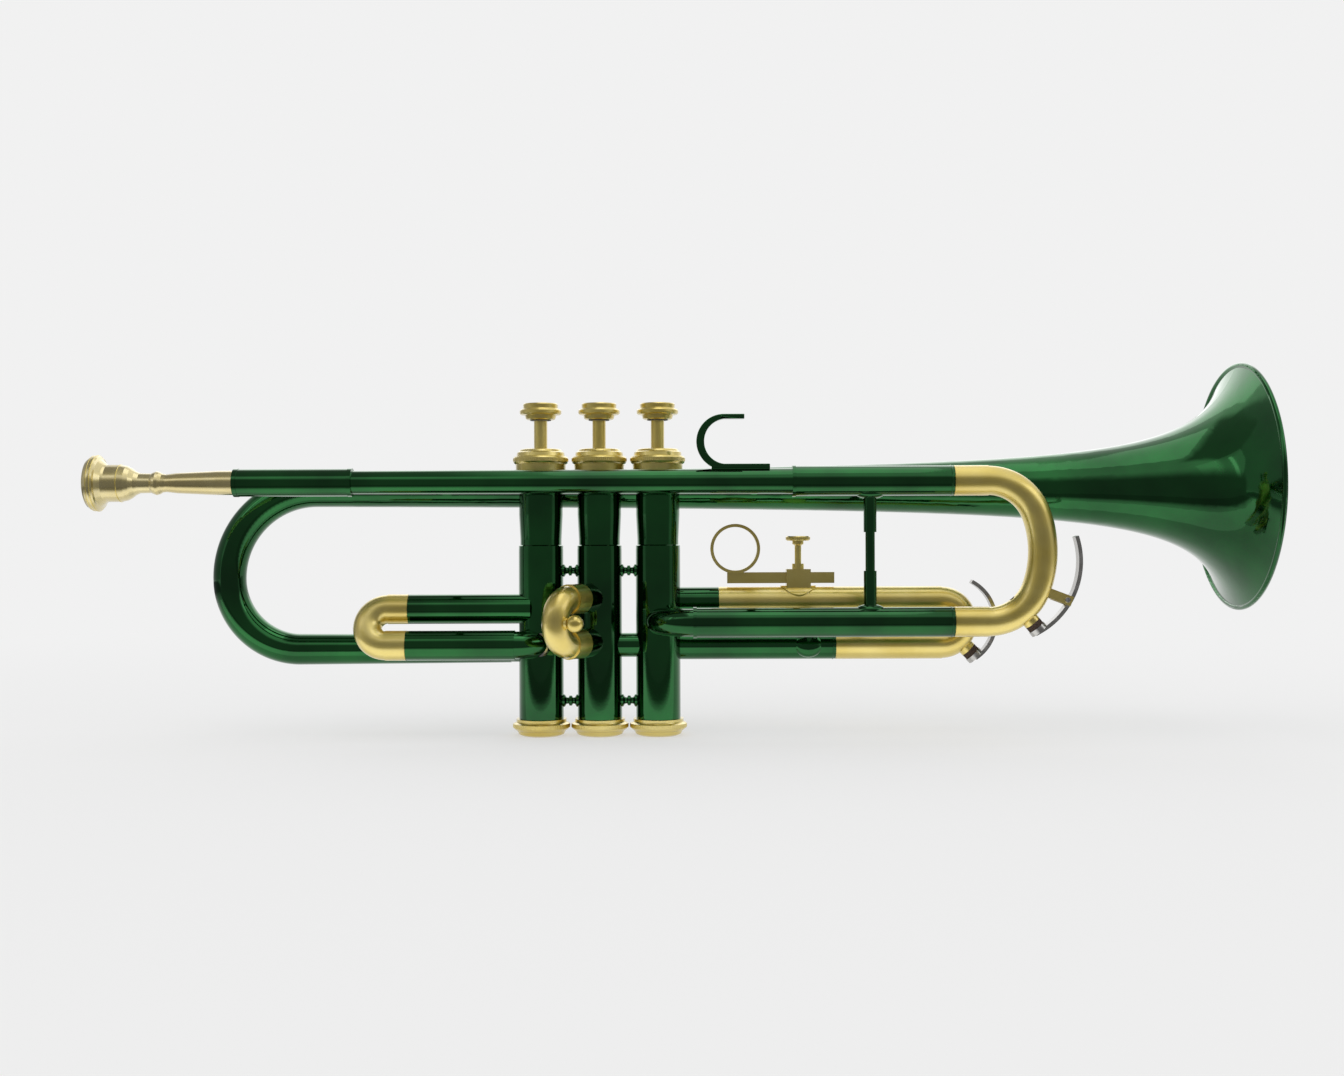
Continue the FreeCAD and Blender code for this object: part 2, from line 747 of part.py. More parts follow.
mouthpiece_radius = size.mouthpiece_diameter / 2
rim_place = size.receiver_start + size.mouthpiece_insertion - size.mouthpiece_length
lead_at = (0, -size.leadpipe_side, leadpipe_height)
# the outside from the rim to the shank, as shares of the length and of the rim's radius
mouthpiece_shares = [(0.0, 0.80), (0.006, 0.88), (0.016, 0.93), (0.028, 0.965), (0.040, 0.985), (0.052, 0.97),
                     (0.060, 0.93), (0.064, 0.84), (0.078, 0.75), (0.088, 0.69), (0.100, 0.655), (0.165, 0.655),
                     (0.200, 0.61), (0.222, 0.53), (0.243, 0.42), (0.265, 0.355), (0.325, 0.345), (0.338, 0.39),
                     (0.353, 0.42), (0.368, 0.39), (0.383, 0.33), (0.403, 0.315), (0.460, 0.36)]
# the cup and throat, as shares of the cup's radius and depth
cup_shares = [(0.55, 0.86), (0.93, 0.3), (1.0, 0.09), (1.09, 0.0)]
cup_bend_share = 1.3
throat_shares = (1.2, 1.5)
cup_radius = size.cup_diameter / 2
cup_corners = [(cup_radius * across, size.cup_depth * deep) for across, deep in cup_shares]
throat_radius = size.throat_diameter / 2
shank_start = size.mouthpiece_length - size.mouthpiece_insertion
node("mouthpiece", turned(
    "mouthpiece",
    [cup_corners[3]]
    + [(mouthpiece_radius * across, size.mouthpiece_length * along) for along, across in mouthpiece_shares]
    + [(size.shank_mouth_diameter / 2, shank_start - size.mouthpiece_insertion / 3),
       (size.shank_mouth_diameter / 2, shank_start),
       (size.shank_end_diameter / 2, size.mouthpiece_length),
       (size.backbore_diameter / 2, size.mouthpiece_length),
       (throat_radius, size.cup_depth * throat_shares[1]),
       (throat_radius, size.cup_depth * throat_shares[0]),
       (*cup_corners[0], cup_radius),
       (*cup_corners[1], cup_radius * cup_bend_share),
       cup_corners[2]],
    (rim_place, -size.leadpipe_side, leadpipe_height), along_x))

receiver_end = size.receiver_start + size.receiver_length
leadpipe_start = receiver_end - size.receiver_overlap
shank_seat = size.receiver_start + size.mouthpiece_insertion
ring_radius = size.receiver_ring_diameter / 2
receiver_radius = size.receiver_diameter / 2
node("mouthpiece_receiver", turned("receiver", [
    (size.shank_mouth_diameter / 2 + size.running_gap, size.receiver_start),
    (ring_radius, size.receiver_start),
    (ring_radius, size.receiver_start + size.receiver_ring_length),
    (receiver_radius, size.receiver_start + size.receiver_ring_length),
    (receiver_radius, receiver_end - size.receiver_ring_length),
    (ring_radius, receiver_end - size.receiver_ring_length),
    (ring_radius, receiver_end),
    (size.leadpipe_start_diameter / 2, receiver_end),
    (size.leadpipe_start_diameter / 2, leadpipe_start),
    (size.leadpipe_start_diameter / 2 - size.leadpipe_wall, leadpipe_start),
    (size.shank_end_diameter / 2 + size.running_gap, shank_seat),
], lead_at, along_x))

neck_end = size.sleeve_start + size.sleeve_neck
lead_start_radius = size.leadpipe_start_diameter / 2
lead_end_radius = size.leadpipe_end_diameter / 2
node("leadpipe", turned("leadpipe", [
    (lead_start_radius - size.leadpipe_wall, leadpipe_start),
    (lead_start_radius, leadpipe_start),
    (lead_start_radius, receiver_end),
    (lead_end_radius, size.sleeve_start),
    (lead_end_radius, neck_end),
    (lead_end_radius - size.leadpipe_wall, neck_end),
], lead_at, along_x))
leadpipe_space = turned("leadpipe_space", [
    (0, leadpipe_start), (lead_start_radius, leadpipe_start), (lead_start_radius, receiver_end),
    (lead_end_radius, size.sleeve_start), (0, size.sleeve_start),
], lead_at, along_x)

# Main tuning slide: two fixed sleeves, and a crook with ferrules and legs that draws out of them

sleeve_bore = size.slide_tube + size.slide_fit * 2
lower_sleeve_start = valve_place["3"] + size.elbow_radius
main_lower_at = (0, -size.leadpipe_side, size.main_lower_height)


def sleeve(name, start, neck_bore, outer, finish, at, turn=along_x):
    # a sleeve with a narrow neck at one end and a raised bead at each end
    proud = outer / 2 + size.sleeve_bead_proud
    return turned(name, [
        (neck_bore / 2, start), (proud, start), (proud, start + size.sleeve_bead),
        (outer / 2, start + size.sleeve_bead), (outer / 2, finish),
        (sleeve_bore / 2, finish), (sleeve_bore / 2, start + size.sleeve_neck),
        (neck_bore / 2, start + size.sleeve_neck),
    ], at, turn)


node("main_slide_sleeves", group("main_sleeve_set", [
    sleeve("upper_sleeve", size.sleeve_start, size.leadpipe_end_diameter, size.sleeve_diameter,
           size.sleeve_end, lead_at),
    sleeve("lower_sleeve", lower_sleeve_start, size.slide_bore, size.sleeve_diameter, size.sleeve_end,
           main_lower_at),
]))
sleeve_space = {
    "upper": rod("upper_sleeve_space", size.sleeve_diameter, size.sleeve_end - size.sleeve_start,
                 (size.sleeve_start, -size.leadpipe_side, leadpipe_height), along_x),
    "lower": rod("lower_sleeve_space", size.sleeve_diameter, size.sleeve_end - size.sleeve_start,
                 (size.sleeve_start, -size.leadpipe_side, size.main_lower_height), along_x),
}

ferrule_start = size.sleeve_end + size.slide_gap
ferrule_end = ferrule_start + size.ferrule_length
corner = size.main_corner_radius
corner_turn = size.main_corner_angle
main_rise = leadpipe_height - size.main_lower_height
corner_out = corner * sine(corner_turn)
corner_up = corner * (1 - cosine(corner_turn))
middle_radius = (main_rise / 2 - corner_up) / cosine(corner_turn)
node("main_slide_crook", cut("main_crook_drained", bent("main_crook", [
    (0, 0), (corner_out, corner_up, corner), (corner_out, main_rise - corner_up, middle_radius),
    (0, main_rise, corner),
], size.crook_diameter, size.slide_bore, (ferrule_end, -size.leadpipe_side, size.main_lower_height)), [
    rod("main_drain", size.key_drain_diameter, size.main_corner_radius + size.crook_diameter,
        (ferrule_end, -size.leadpipe_side, size.main_lower_height + corner),
        FreeCAD.Rotation(FreeCAD.Vector(0, 1, 0), 180 - size.main_key_seat_angle.value)),
]))
main_tubes = []
for place, at in (("upper", lead_at), ("lower", main_lower_at)):
    main_tubes.append(tube(f"main_{place}_ferrule", size.ferrule_diameter, size.slide_tube,
                           ferrule_start, ferrule_end, at, along_x))
    main_tubes.append(tube(f"main_{place}_leg", size.slide_tube, size.slide_bore,
                           ferrule_end - size.main_leg_length - size.ferrule_length, ferrule_end, at, along_x))
node("main_slide_tubes", group("main_tube_set", main_tubes))

# Water keys: a sprung lever with a cork that shuts a drain at the lowest bend of a slide


def water_key(name, bend_at, bend_radius, tube_diameter, seat_angle, standoff, forward, lift, side,
              tip_angle, tail_angle, pivot_angle):
    # bend_at is the centre of the slide's bend in X and Z, and the lever's arc has its own centre near it
    surface = bend_radius + tube_diameter / 2
    lever_radius = surface + standoff
    seat_x = sine(seat_angle)
    seat_z = -cosine(seat_angle)
    centre = (bend_at[0] + forward, bend_at[1] + lift)
    inside = lever_radius - size.key_thickness
    across = -(forward * seat_x) - lift * seat_z
    reach = -across + root(across * across - (forward * forward + lift * lift) + inside * inside)
    down_seat = FreeCAD.Rotation(FreeCAD.Vector(0, 1, 0), 180 - seat_angle.value)

    def on_seat(out):
        return (bend_at[0] + seat_x * out, side, bend_at[1] + seat_z * out)

    # the bend itself, for what sits on it
    space = doc.addObject("Part::Torus", f"{name}_bend_space")
    space.setExpression("Radius1", as_size(bend_radius).text)
    space.setExpression("Radius2", (tube_diameter / 2).text)
    put(space, (bend_at[0], side, bend_at[1]), along_y)
    nipple_top = surface + size.key_nipple_height
    nipple = rod(f"{name}_nipple", size.key_nipple_diameter, nipple_top - bend_radius, on_seat(bend_radius),
                 down_seat)
    drain = rod(f"{name}_nipple_drain", size.key_drain_diameter, nipple_top, on_seat(0), down_seat)
    # the pivot lies under the lever's strip
    pivot_out = inside - (size.key_barrel_diameter - size.key_thickness) / 2
    pivot_x = centre[0] + pivot_out * cosine(pivot_angle)
    pivot_z = centre[1] + pivot_out * sine(pivot_angle)
    lugs = []
    for hand, start in (("right", -size.key_width / 2 - size.key_lug_thickness), ("left", size.key_width / 2)):
        lug = block(f"{name}_{hand}_lug",
                    (bend_radius, start, -size.key_lug_height / 2),
                    (pivot_out + forward, start + size.key_lug_thickness, size.key_lug_height / 2))
        lugs.append(lug)
    foot = block(f"{name}_foot",
                 (bend_radius, -size.key_width / 2 - size.key_lug_thickness, -size.key_lug_height / 2),
                 (surface + size.key_lug_thickness, size.key_width / 2 + size.key_lug_thickness,
                  size.key_lug_height / 2))
    post = fused(f"{name}_post_shape", lugs + [foot])
    # the post stands square on the bend and points at the pivot
    toward = math.degrees(math.atan2((pivot_z - bend_at[1]).value, (pivot_x - bend_at[0]).value))
    put(post, (bend_at[0], side, bend_at[1]), FreeCAD.Rotation(FreeCAD.Vector(0, 1, 0), -toward))
    lug_outer = size.key_width / 2 + size.key_lug_thickness
    pin = rod(f"{name}_pin", size.key_pin_diameter, lug_outer * 2, (pivot_x, side - lug_outer, pivot_z), along_y)
    seat = fused(f"{name}_seat_parts", [nipple, post, pin])
    seat_node = cut(f"{name}_seat_shape", seat, [space, drain])

    # the lever: an arc of strip, a barrel on the pin and a cup for the cork
    strips = []
    for part, radius in (("outer", lever_radius), ("inner", inside)):
        strip = doc.addObject("Part::Cylinder", f"{name}_strip_{part}")
        strip.setExpression("Radius", radius.text)
        strip.setExpression("Height", size.key_width.text)
        strip.setExpression("Angle", (tip_angle - tail_angle).text)
        put(strip, (centre[0], side + size.key_width / 2, centre[1]),
            facing_y * FreeCAD.Rotation(FreeCAD.Vector(0, 0, 1), tail_angle.value))
        strips.append(strip)
    strip = cut(f"{name}_strip", strips[0], [strips[1]])
    barrel_width = size.key_width - size.key_gap * 2
    barrel = rod(f"{name}_barrel", size.key_barrel_diameter, barrel_width,
                 (pivot_x, side - barrel_width / 2, pivot_z), along_y)
    cup = rod(f"{name}_cup", size.key_cup_diameter, size.key_cup_depth + size.key_thickness / 2,
              on_seat(reach - size.key_cup_depth), down_seat)
    cork_start = nipple_top + size.running_gap
    cork = rod(f"{name}_cork_body", size.key_cork_diameter, reach - size.key_cup_depth - cork_start,
               on_seat(cork_start), down_seat)
    hinge = rod(f"{name}_hinge_bore", size.key_pin_diameter + size.running_gap * 2, size.key_width * 2,
                (pivot_x, side - size.key_width, pivot_z), along_y)
    lever = cut(f"{name}_lever_shape", fused(f"{name}_lever_parts", [strip, barrel, cup]), [hinge])
    print(name, "pivot", round(pivot_x.value, 3), round(side.value, 3), round(pivot_z.value, 3))
    return seat_node, lever, cork


main_seat, main_lever, main_cork = water_key(
    "main_key", (ferrule_end, size.main_lower_height + corner), corner, size.crook_diameter,
    size.main_key_seat_angle, size.main_key_standoff, size.main_key_forward, size.main_key_lift,
    -size.leadpipe_side, size.main_key_tip_angle, size.main_key_tail_angle, size.main_key_pivot_angle)
node("main_water_key_seat", main_seat)
node("main_water_key_lever", main_lever)
node("main_water_key_cork", main_cork)

# First valve slide, drawn back towards the player

first_rise = first_upper_height - size.first_lower_height
first_shift = size.first_lower_side - size.first_upper_side
first_span = root(first_rise * first_rise + first_shift * first_shift)
first_tilt = math.degrees(math.atan2(first_shift.value, first_rise.value))
first_upper_at = (0, -size.first_upper_side, first_upper_height)
first_lower_at = (0, -size.first_lower_side, size.first_lower_height)
first_lower_start = valve_place["1"] - size.first_lower_side
node("first_slide_sleeves", group("first_sleeve_set", [
    cut("first_upper_sleeve", tube("first_upper_tube", size.sleeve_diameter, sleeve_bore, size.first_sleeve_end,
                                   valve_place["1"] - size.casing_bore / 4, first_upper_at, along_x),
        [casing_space["1"]]),
    cut("first_lower_sleeve", tube("first_lower_tube", size.sleeve_diameter, sleeve_bore, size.first_sleeve_end,
                                   first_lower_start, first_lower_at, along_x), [casing_space["1"]]),
]))
first_ferrule_front = size.first_sleeve_end - size.slide_gap
first_ferrule_back = first_ferrule_front - size.first_ferrule_length
first_tubes = []
for place, at in (("upper", first_upper_at), ("lower", first_lower_at)):
    first_tubes.append(tube(f"first_{place}_ferrule", size.ferrule_diameter, size.slide_tube,
                            first_ferrule_back, first_ferrule_front, at, along_x))
    first_tubes.append(tube(f"first_{place}_leg", size.slide_tube, size.slide_bore, first_ferrule_back,
                            first_ferrule_back + size.first_leg_length, at, along_x))
node("first_slide_tubes", group("first_tube_set", first_tubes))
half_span = first_span / 2
node("first_slide_crook", bent("first_crook", [
    (0, 0), (half_span, half_span, half_span), (0, first_span, half_span),
], size.crook_diameter, size.slide_bore, (first_ferrule_back, -size.first_lower_side, size.first_lower_height),
    FreeCAD.Rotation(FreeCAD.Vector(1, 0, 0), -first_tilt) * FreeCAD.Rotation(FreeCAD.Vector(0, 0, 1), 180)))

# Second valve slide, short, pointing out past the leadpipe

second_way = sideways(second_turn)
second_frame = FreeCAD.Rotation(FreeCAD.Vector(0, 0, 1), second_turn)
second_outward = (math.cos(math.radians(second_turn)), math.sin(math.radians(second_turn)))
second_rise = second_upper_height - size.second_lower_height
second_ferrule_start = size.second_sleeve_length + size.slide_gap
second_ferrule_end = second_ferrule_start + size.second_ferrule_length
second_sleeves = []
second_tubes = []
for place, height in (("upper", second_upper_height), ("lower", size.second_lower_height)):
    at = (0, 0, height)
    second_sleeves.append(cut(
        f"second_{place}_sleeve",
        tube(f"second_{place}_tube", size.sleeve_diameter, sleeve_bore, 0, size.second_sleeve_length, at,
             second_way),
        [casing_space["2"]]))
    second_tubes.append(tube(f"second_{place}_ferrule", size.ferrule_diameter, size.slide_tube,
                             second_ferrule_start, second_ferrule_end, at, second_way))
    second_tubes.append(tube(f"second_{place}_leg", size.slide_tube, size.slide_bore,
                             second_ferrule_end - size.second_ferrule_length - size.second_leg_depth,
                             second_ferrule_end, at, second_way))
node("second_slide_sleeves", group("second_sleeve_set", second_sleeves))
node("second_slide_tubes", group("second_tube_set", second_tubes))
half_rise = second_rise / 2
second_at = (second_ferrule_end * second_outward[0], second_ferrule_end * second_outward[1],
             size.second_lower_height)
node("second_slide_crook", bent("second_crook", [
    (0, 0), (half_rise, half_rise, half_rise), (0, second_rise, half_rise),
], size.second_crook_diameter, size.slide_bore, second_at, second_frame))
knob_radius = size.knob_diameter / 2
# where the ball meets its collar, as shares of its radius out and down
knob_neck_shares = (0.51, 0.86)
knob_neck = size.knob_reach - knob_radius * knob_neck_shares[1]
apex = second_ferrule_end + half_rise
knob_at = (apex * second_outward[0], apex * second_outward[1],
           (second_upper_height + size.second_lower_height) / 2)
second_space = doc.addObject("Part::Torus", "second_bend_space")
second_space.setExpression("Radius1", half_rise.text)
second_space.setExpression("Radius2", (size.second_crook_diameter / 2).text)
put(second_space, (second_at[0], second_at[1], knob_at[2]), second_frame * along_y)
knob_collar = size.knob_collar_diameter / 2
node("second_slide_knob", cut("second_knob_seated", turned("second_knob", [
    (0, size.second_crook_diameter / 4),
    (knob_collar, size.second_crook_diameter / 4),
    (knob_collar, knob_neck),
    (knob_radius * knob_neck_shares[0], knob_neck),
    (knob_radius, size.knob_reach, knob_radius),
    (0, size.knob_reach + knob_radius, knob_radius),
], knob_at, second_frame * along_y), [second_space]))

# Third valve slide, drawn forwards under the player's ring finger

third_start = valve_place["3"] + size.casing_bore / 4
third_upper_at = (0, size.third_side, third_upper_height)
third_lower_at = (0, size.third_side, size.third_lower_height)
third_rise = third_upper_height - size.third_lower_height
third_bend = third_rise / 2
third_bore = size.slide_tube + size.slide_fit * 2
node("third_slide_sleeves", group("third_sleeve_set", [
    cut("third_stub_seated", tube("third_stub", size.sleeve_diameter, size.slide_tube, third_start,
                                  size.third_stub_end, third_upper_at, along_x), [casing_space["3"]]),
    cut("third_pipe_seated", tube("third_pipe", size.slide_tube, size.slide_bore, third_start,
                                  size.third_pipe_end, third_upper_at, along_x), [casing_space["3"]]),
    cut("third_sleeve_seated", tube("third_sleeve", size.sleeve_diameter, third_bore, third_start,
                                    size.third_lower_sleeve_end, third_lower_at, along_x), [casing_space["3"]]),
]))
third_upper_start = size.third_stub_end + size.slide_gap
third_lower_start = size.third_lower_sleeve_end + size.slide_gap
node("third_slide_tubes", group("third_tube_set", [
    tube("third_upper_tube", size.third_tube, third_bore, third_upper_start, size.third_crook_start,
         third_upper_at, along_x),
    tube("third_lower_tube", size.third_tube, size.slide_tube, third_lower_start, size.third_crook_start,
         third_lower_at, along_x),
    tube("third_leg", size.slide_tube, size.slide_bore, size.third_lower_sleeve_end - size.third_leg_length,
         size.third_crook_start, third_lower_at, along_x),
]))
third_key_down = FreeCAD.Rotation(FreeCAD.Vector(0, 1, 0), 180 - size.third_key_seat_angle.value)
node("third_slide_crook", cut("third_crook_drained", bent("third_crook", [
    (0, 0), (third_bend, third_bend, third_bend), (0, third_rise, third_bend),
], size.crook_diameter, size.slide_bore, (size.third_crook_start, size.third_side, size.third_lower_height)), [
    rod("third_drain", size.key_drain_diameter, third_bend + size.crook_diameter,
        (size.third_crook_start, size.third_side, size.third_lower_height + third_bend), third_key_down),
]))
third_seat, third_lever, third_cork = water_key(
    "third_key", (size.third_crook_start, size.third_lower_height + third_bend), third_bend, size.crook_diameter,
    size.third_key_seat_angle, size.third_key_standoff, size.third_key_forward, size.third_key_lift,
    size.third_side, size.third_key_tip_angle, size.third_key_tail_angle, size.third_key_pivot_angle)
node("third_water_key_seat", third_seat)
node("third_water_key_lever", third_lever)
node("third_water_key_cork", third_cork)

# Finger ring on a bar that slides through a clamp on the third slide, held by a thumbscrew

ring_radius = size.ring_diameter / 2
bar_bottom = third_upper_height + size.third_tube / 2 + size.bar_rise
bar_top = bar_bottom + size.bar_height
ring_height = bar_top + ring_radius - size.ring_sink
clamp_top = bar_top + size.clamp_roof
screw_top = clamp_top + size.screw_rise
ring_out = rod("ring_outside", size.ring_diameter, size.ring_width,
               (size.ring_centre, size.third_side - size.ring_width / 2, ring_height), along_y)
ring_in = rod("ring_inside", size.ring_diameter - size.ring_thickness * 2, size.ring_width,
              (size.ring_centre, size.third_side - size.ring_width / 2, ring_height), along_y)
bar_low = (size.bar_start, size.third_side - size.bar_thickness / 2, bar_bottom)
bar_high = (size.bar_end, size.third_side + size.bar_thickness / 2, bar_top)
ring_foot = block("ring_foot", bar_low, (size.ring_centre + size.ring_thickness * 2,
                                         size.third_side + size.bar_thickness / 2,
                                         bar_top + size.ring_thickness))
node("finger_ring", cut("ring_opened", fused("ring_parts", [
    ring_out, block("ring_bar", bar_low, bar_high), ring_foot,
]), [ring_in]))

clamp_end = size.clamp_start + size.clamp_length
clamp_middle = (size.clamp_start + clamp_end) / 2
third_tube_radius = size.third_tube / 2
clamp_body = block("clamp_body",
                   (size.clamp_start, size.third_side - size.clamp_width / 2, third_upper_height),
                   (clamp_end, size.third_side + size.clamp_width / 2, clamp_top))
clamp_collar = rod("clamp_collar", size.clamp_collar_diameter, size.clamp_collar_height + size.bar_fit,
                   (clamp_middle, size.third_side, clamp_top - size.bar_fit))
saddle_oval = doc.addObject("Part::Ellipsoid", "clamp_saddle_oval")
saddle_oval.setExpression("Radius2", (size.saddle_length / 2).text)
saddle_oval.setExpression("Radius3", (size.saddle_width / 2).text)
saddle_oval.setExpression("Radius1", (size.saddle_depth / 2).text)
put(saddle_oval, (clamp_middle, size.third_side, third_upper_height + size.saddle_lift))
saddle_tube = rod("clamp_saddle_tube", size.third_tube + size.saddle_proud * 2, size.saddle_length,
                  (clamp_middle - size.saddle_length / 2, size.third_side, third_upper_height), along_x)
saddle = doc.addObject("Part::Common", "clamp_saddle")
saddle.Base = saddle_tube
saddle.Tool = saddle_oval
bar_slot = block("clamp_slot",
                 (size.clamp_start - size.clamp_length, size.third_side - size.bar_thickness / 2 - size.bar_fit,
                  bar_bottom - size.bar_fit),
                 (clamp_end + size.clamp_length, size.third_side + size.bar_thickness / 2 + size.bar_fit,
                  bar_top + size.bar_fit))
screw_hole = rod("clamp_screw_hole", size.screw_diameter + size.running_gap * 2, screw_top,
                 (clamp_middle, size.third_side, bar_top - size.bar_fit))
third_tube_space = rod("third_tube_space", size.third_tube, size.third_crook_start - third_upper_start,
                       (third_upper_start, size.third_side, third_upper_height), along_x)
node("ring_clamp", cut("clamp_shape", fused("clamp_parts", [clamp_body, clamp_collar, saddle]),
                       [bar_slot, screw_hole, third_tube_space]))
screw_foot = bar_top + size.running_gap
head_bottom = screw_top - size.screw_head_height
collar_bottom = head_bottom - size.screw_collar_height
screw_radius = size.screw_diameter / 2
head_radius = size.screw_head_diameter / 2
head_edge_share = 0.93
head_bevel = size.screw_head_height / 4
node("clamp_screw", turned("clamp_screw", [
    (0, screw_foot), (screw_radius, screw_foot), (screw_radius, collar_bottom),
    (size.screw_collar_diameter / 2, collar_bottom + size.screw_collar_height / 3),
    (size.screw_collar_diameter / 2, head_bottom), (head_radius * head_edge_share, head_bottom),
    (head_radius, head_bottom + head_bevel), (head_radius, screw_top - head_bevel),
    (head_radius * head_edge_share, screw_top), (0, screw_top),
], (clamp_middle, size.third_side, 0)))

# Bell: a horn whose radius falls away from the rim as a power of the distance

flare_power = 1.04
bead_sink_share = 0.4
bell_edge_radius = size.bell_diameter / 2 - size.bell_bead_diameter * bead_sink_share
bell_edge = size.bell_end - size.bell_bead_diameter / 2
flare_growth = bell_edge_radius.value - size.bell_throat_radius.value


def horn_radius(depth):
    return size.bell_throat_radius.value + flare_growth * math.pow(
        size.bell_flare_depth.value / (depth + size.bell_flare_depth.value), flare_power)


def horn_slope(depth):
    flared = horn_radius(depth) - size.bell_throat_radius.value
    return flared * flare_power / (depth + size.bell_flare_depth.value)


bell_length = bell_edge.value - size.bell_start.value
# how far back from the rim each ring of the horn lies, as shares of the bell's length
horn_shares = [0.0, 0.004, 0.010, 0.018, 0.030, 0.046, 0.07, 0.10, 0.145, 0.21, 0.30, 0.42, 0.56, 0.72, 0.86, 1.0]
outside = []
inside = []
for share in horn_shares:
    depth = share * bell_length
    radius = horn_radius(depth)
    lean = math.atan(horn_slope(depth))
    outside.append(FreeCAD.Vector(bell_edge.value - depth, 0, radius))
    inside.append(FreeCAD.Vector(bell_edge.value - depth + size.bell_wall.value * math.sin(lean), 0,
                                 radius - size.bell_wall.value * math.cos(lean)))
inside[-1] = FreeCAD.Vector(size.bell_start.value, 0, outside[-1].z - size.bell_wall.value)
outer_curve = Part.BSplineCurve()
outer_curve.interpolate(outside)
inner_curve = Part.BSplineCurve()
inner_curve.interpolate(inside)
bell_axis = (FreeCAD.Vector(0, 0, 0), FreeCAD.Vector(1, 0, 0))


def spun(edges):
    return Part.Face(Part.Wire(Part.__sortEdges__(edges))).revolve(*bell_axis, 360)


bell_at = (0, size.bell_side, size.bell_height)
front_line = Part.LineSegment(outside[0], inside[0]).toShape()
back_line = Part.LineSegment(outside[-1], inside[-1]).toShape()
bell = node("bell", shaped(
    "bell_horn", spun([outer_curve.toShape(), front_line, inner_curve.toShape(), back_line]), bell_at))
axis_front = FreeCAD.Vector(outside[0].x, 0, 0)
axis_back = FreeCAD.Vector(outside[-1].x, 0, 0)
bell_space = shaped("bell_space", spun([
    outer_curve.toShape(), Part.LineSegment(outside[0], axis_front).toShape(),
    Part.LineSegment(axis_front, axis_back).toShape(), Part.LineSegment(axis_back, outside[-1]).toShape(),
]), bell_at)

# the rolled rim: a bead round the horn's edge with a narrow flat face in front
bead_radius = size.bell_bead_diameter / 2
half_face = size.bell_face_width / 2
bead_middle = size.bell_diameter / 2 - bead_radius
bead_place = size.bell_end - root(bead_radius * bead_radius - half_face * half_face)
node("bell_rim_wire", cut("rim_bead_seated", turned("rim_bead", [
    (bead_middle - half_face, size.bell_end, -bead_radius),
    (bead_middle + half_face, size.bell_end),
    (bead_middle + bead_radius, bead_place, -bead_radius),
    (bead_middle, bead_place - bead_radius, -bead_radius),
    (bead_middle - bead_radius, bead_place, -bead_radius),
], bell_at, along_x), [bell]))

# the bell's bow: a tapering tube round two quarter turns, then straight back to the first valve
bow_end = valve_place["1"] - size.elbow_radius
bow_reach = size.bow_upper_radius.value
bow_return = size.bow_lower_radius.value
corner_45 = math.sqrt(0.5)
bow_points = {
    "start": FreeCAD.Vector(0, 0, 0),
    "upper": FreeCAD.Vector(-bow_reach * corner_45, 0, -bow_reach * (1 - corner_45)),
    "apex": FreeCAD.Vector(-bow_reach, 0, -bow_reach),
    "lower": FreeCAD.Vector(-bow_reach + bow_return * (1 - corner_45), 0, -bow_reach - bow_return * corner_45),
    "foot": FreeCAD.Vector(-bow_reach + bow_return, 0, -bow_reach - bow_return),
    "end": FreeCAD.Vector(bow_end.value - size.bell_start.value, 0, -bow_reach - bow_return),
}
bow_path = Part.Wire([
    Part.Arc(bow_points["start"], bow_points["upper"], bow_points["apex"]).toShape(),
    Part.Arc(bow_points["apex"], bow_points["lower"], bow_points["foot"]).toShape(),
    Part.LineSegment(bow_points["foot"], bow_points["end"]).toShape(),
])


def tapered(start_radius, end_radius):
    pipe = Part.BRepOffsetAPI.MakePipeShell(bow_path)
    for place, radius in (("start", start_radius), ("end", end_radius)):
        circle = Part.Circle(bow_points[place], FreeCAD.Vector(1, 0, 0), radius)
        pipe.add(Part.Wire([circle.toShape()]))
    pipe.build()
    pipe.makeSolid()
    return pipe.shape()


bow_start_radius = outside[-1].z
bow_end_radius = size.bow_end_diameter.value / 2
node("bell_bow", shaped("bow_tube", tapered(bow_start_radius, bow_end_radius).cut(
    tapered(bow_start_radius - size.bell_wall.value, bow_end_radius - size.bell_wall.value)),
    (size.bell_start, size.bell_side, size.bell_height)))

# Braces: one post between the main slide's sleeves, two rods from the leadpipe to the bell


def foot_on(name, at, along, across, high):
    foot = doc.addObject("Part::Ellipsoid", name)
    foot.setExpression("Radius2", as_size(along).text)
    foot.setExpression("Radius3", as_size(across).text)
    foot.setExpression("Radius1", as_size(high).text)
    return put(foot, at)


sleeve_radius = size.sleeve_diameter / 2
post_low = size.main_lower_height + sleeve_radius
post_high = leadpipe_height - sleeve_radius
socket_radius = size.brace_socket_diameter / 2
brace_rod = size.brace_rod_diameter / 2
post = turned("slide_post", [
    (0, size.main_lower_height), (socket_radius, size.main_lower_height),
    (socket_radius, post_low + size.brace_socket_length),
    (brace_rod, post_low + size.brace_socket_length),
    (brace_rod, post_high - size.brace_socket_length),
    (socket_radius, post_high - size.brace_socket_length),
    (socket_radius, leadpipe_height), (0, leadpipe_height),
], (size.brace_place, -size.leadpipe_side, 0))
slide_post = cut("slide_post_seated", fused("slide_post_parts", [
    post,
    foot_on("lower_post_foot", (size.brace_place, -size.leadpipe_side, post_low - size.brace_foot_height),
            size.brace_foot_length / 2, size.brace_foot_width / 2, size.brace_foot_height * 2),
    foot_on("upper_post_foot", (size.brace_place, -size.leadpipe_side, post_high + size.brace_foot_height),
            size.brace_foot_length / 2, size.brace_foot_width / 2, size.brace_foot_height * 2),
]), [sleeve_space["upper"], sleeve_space["lower"]])

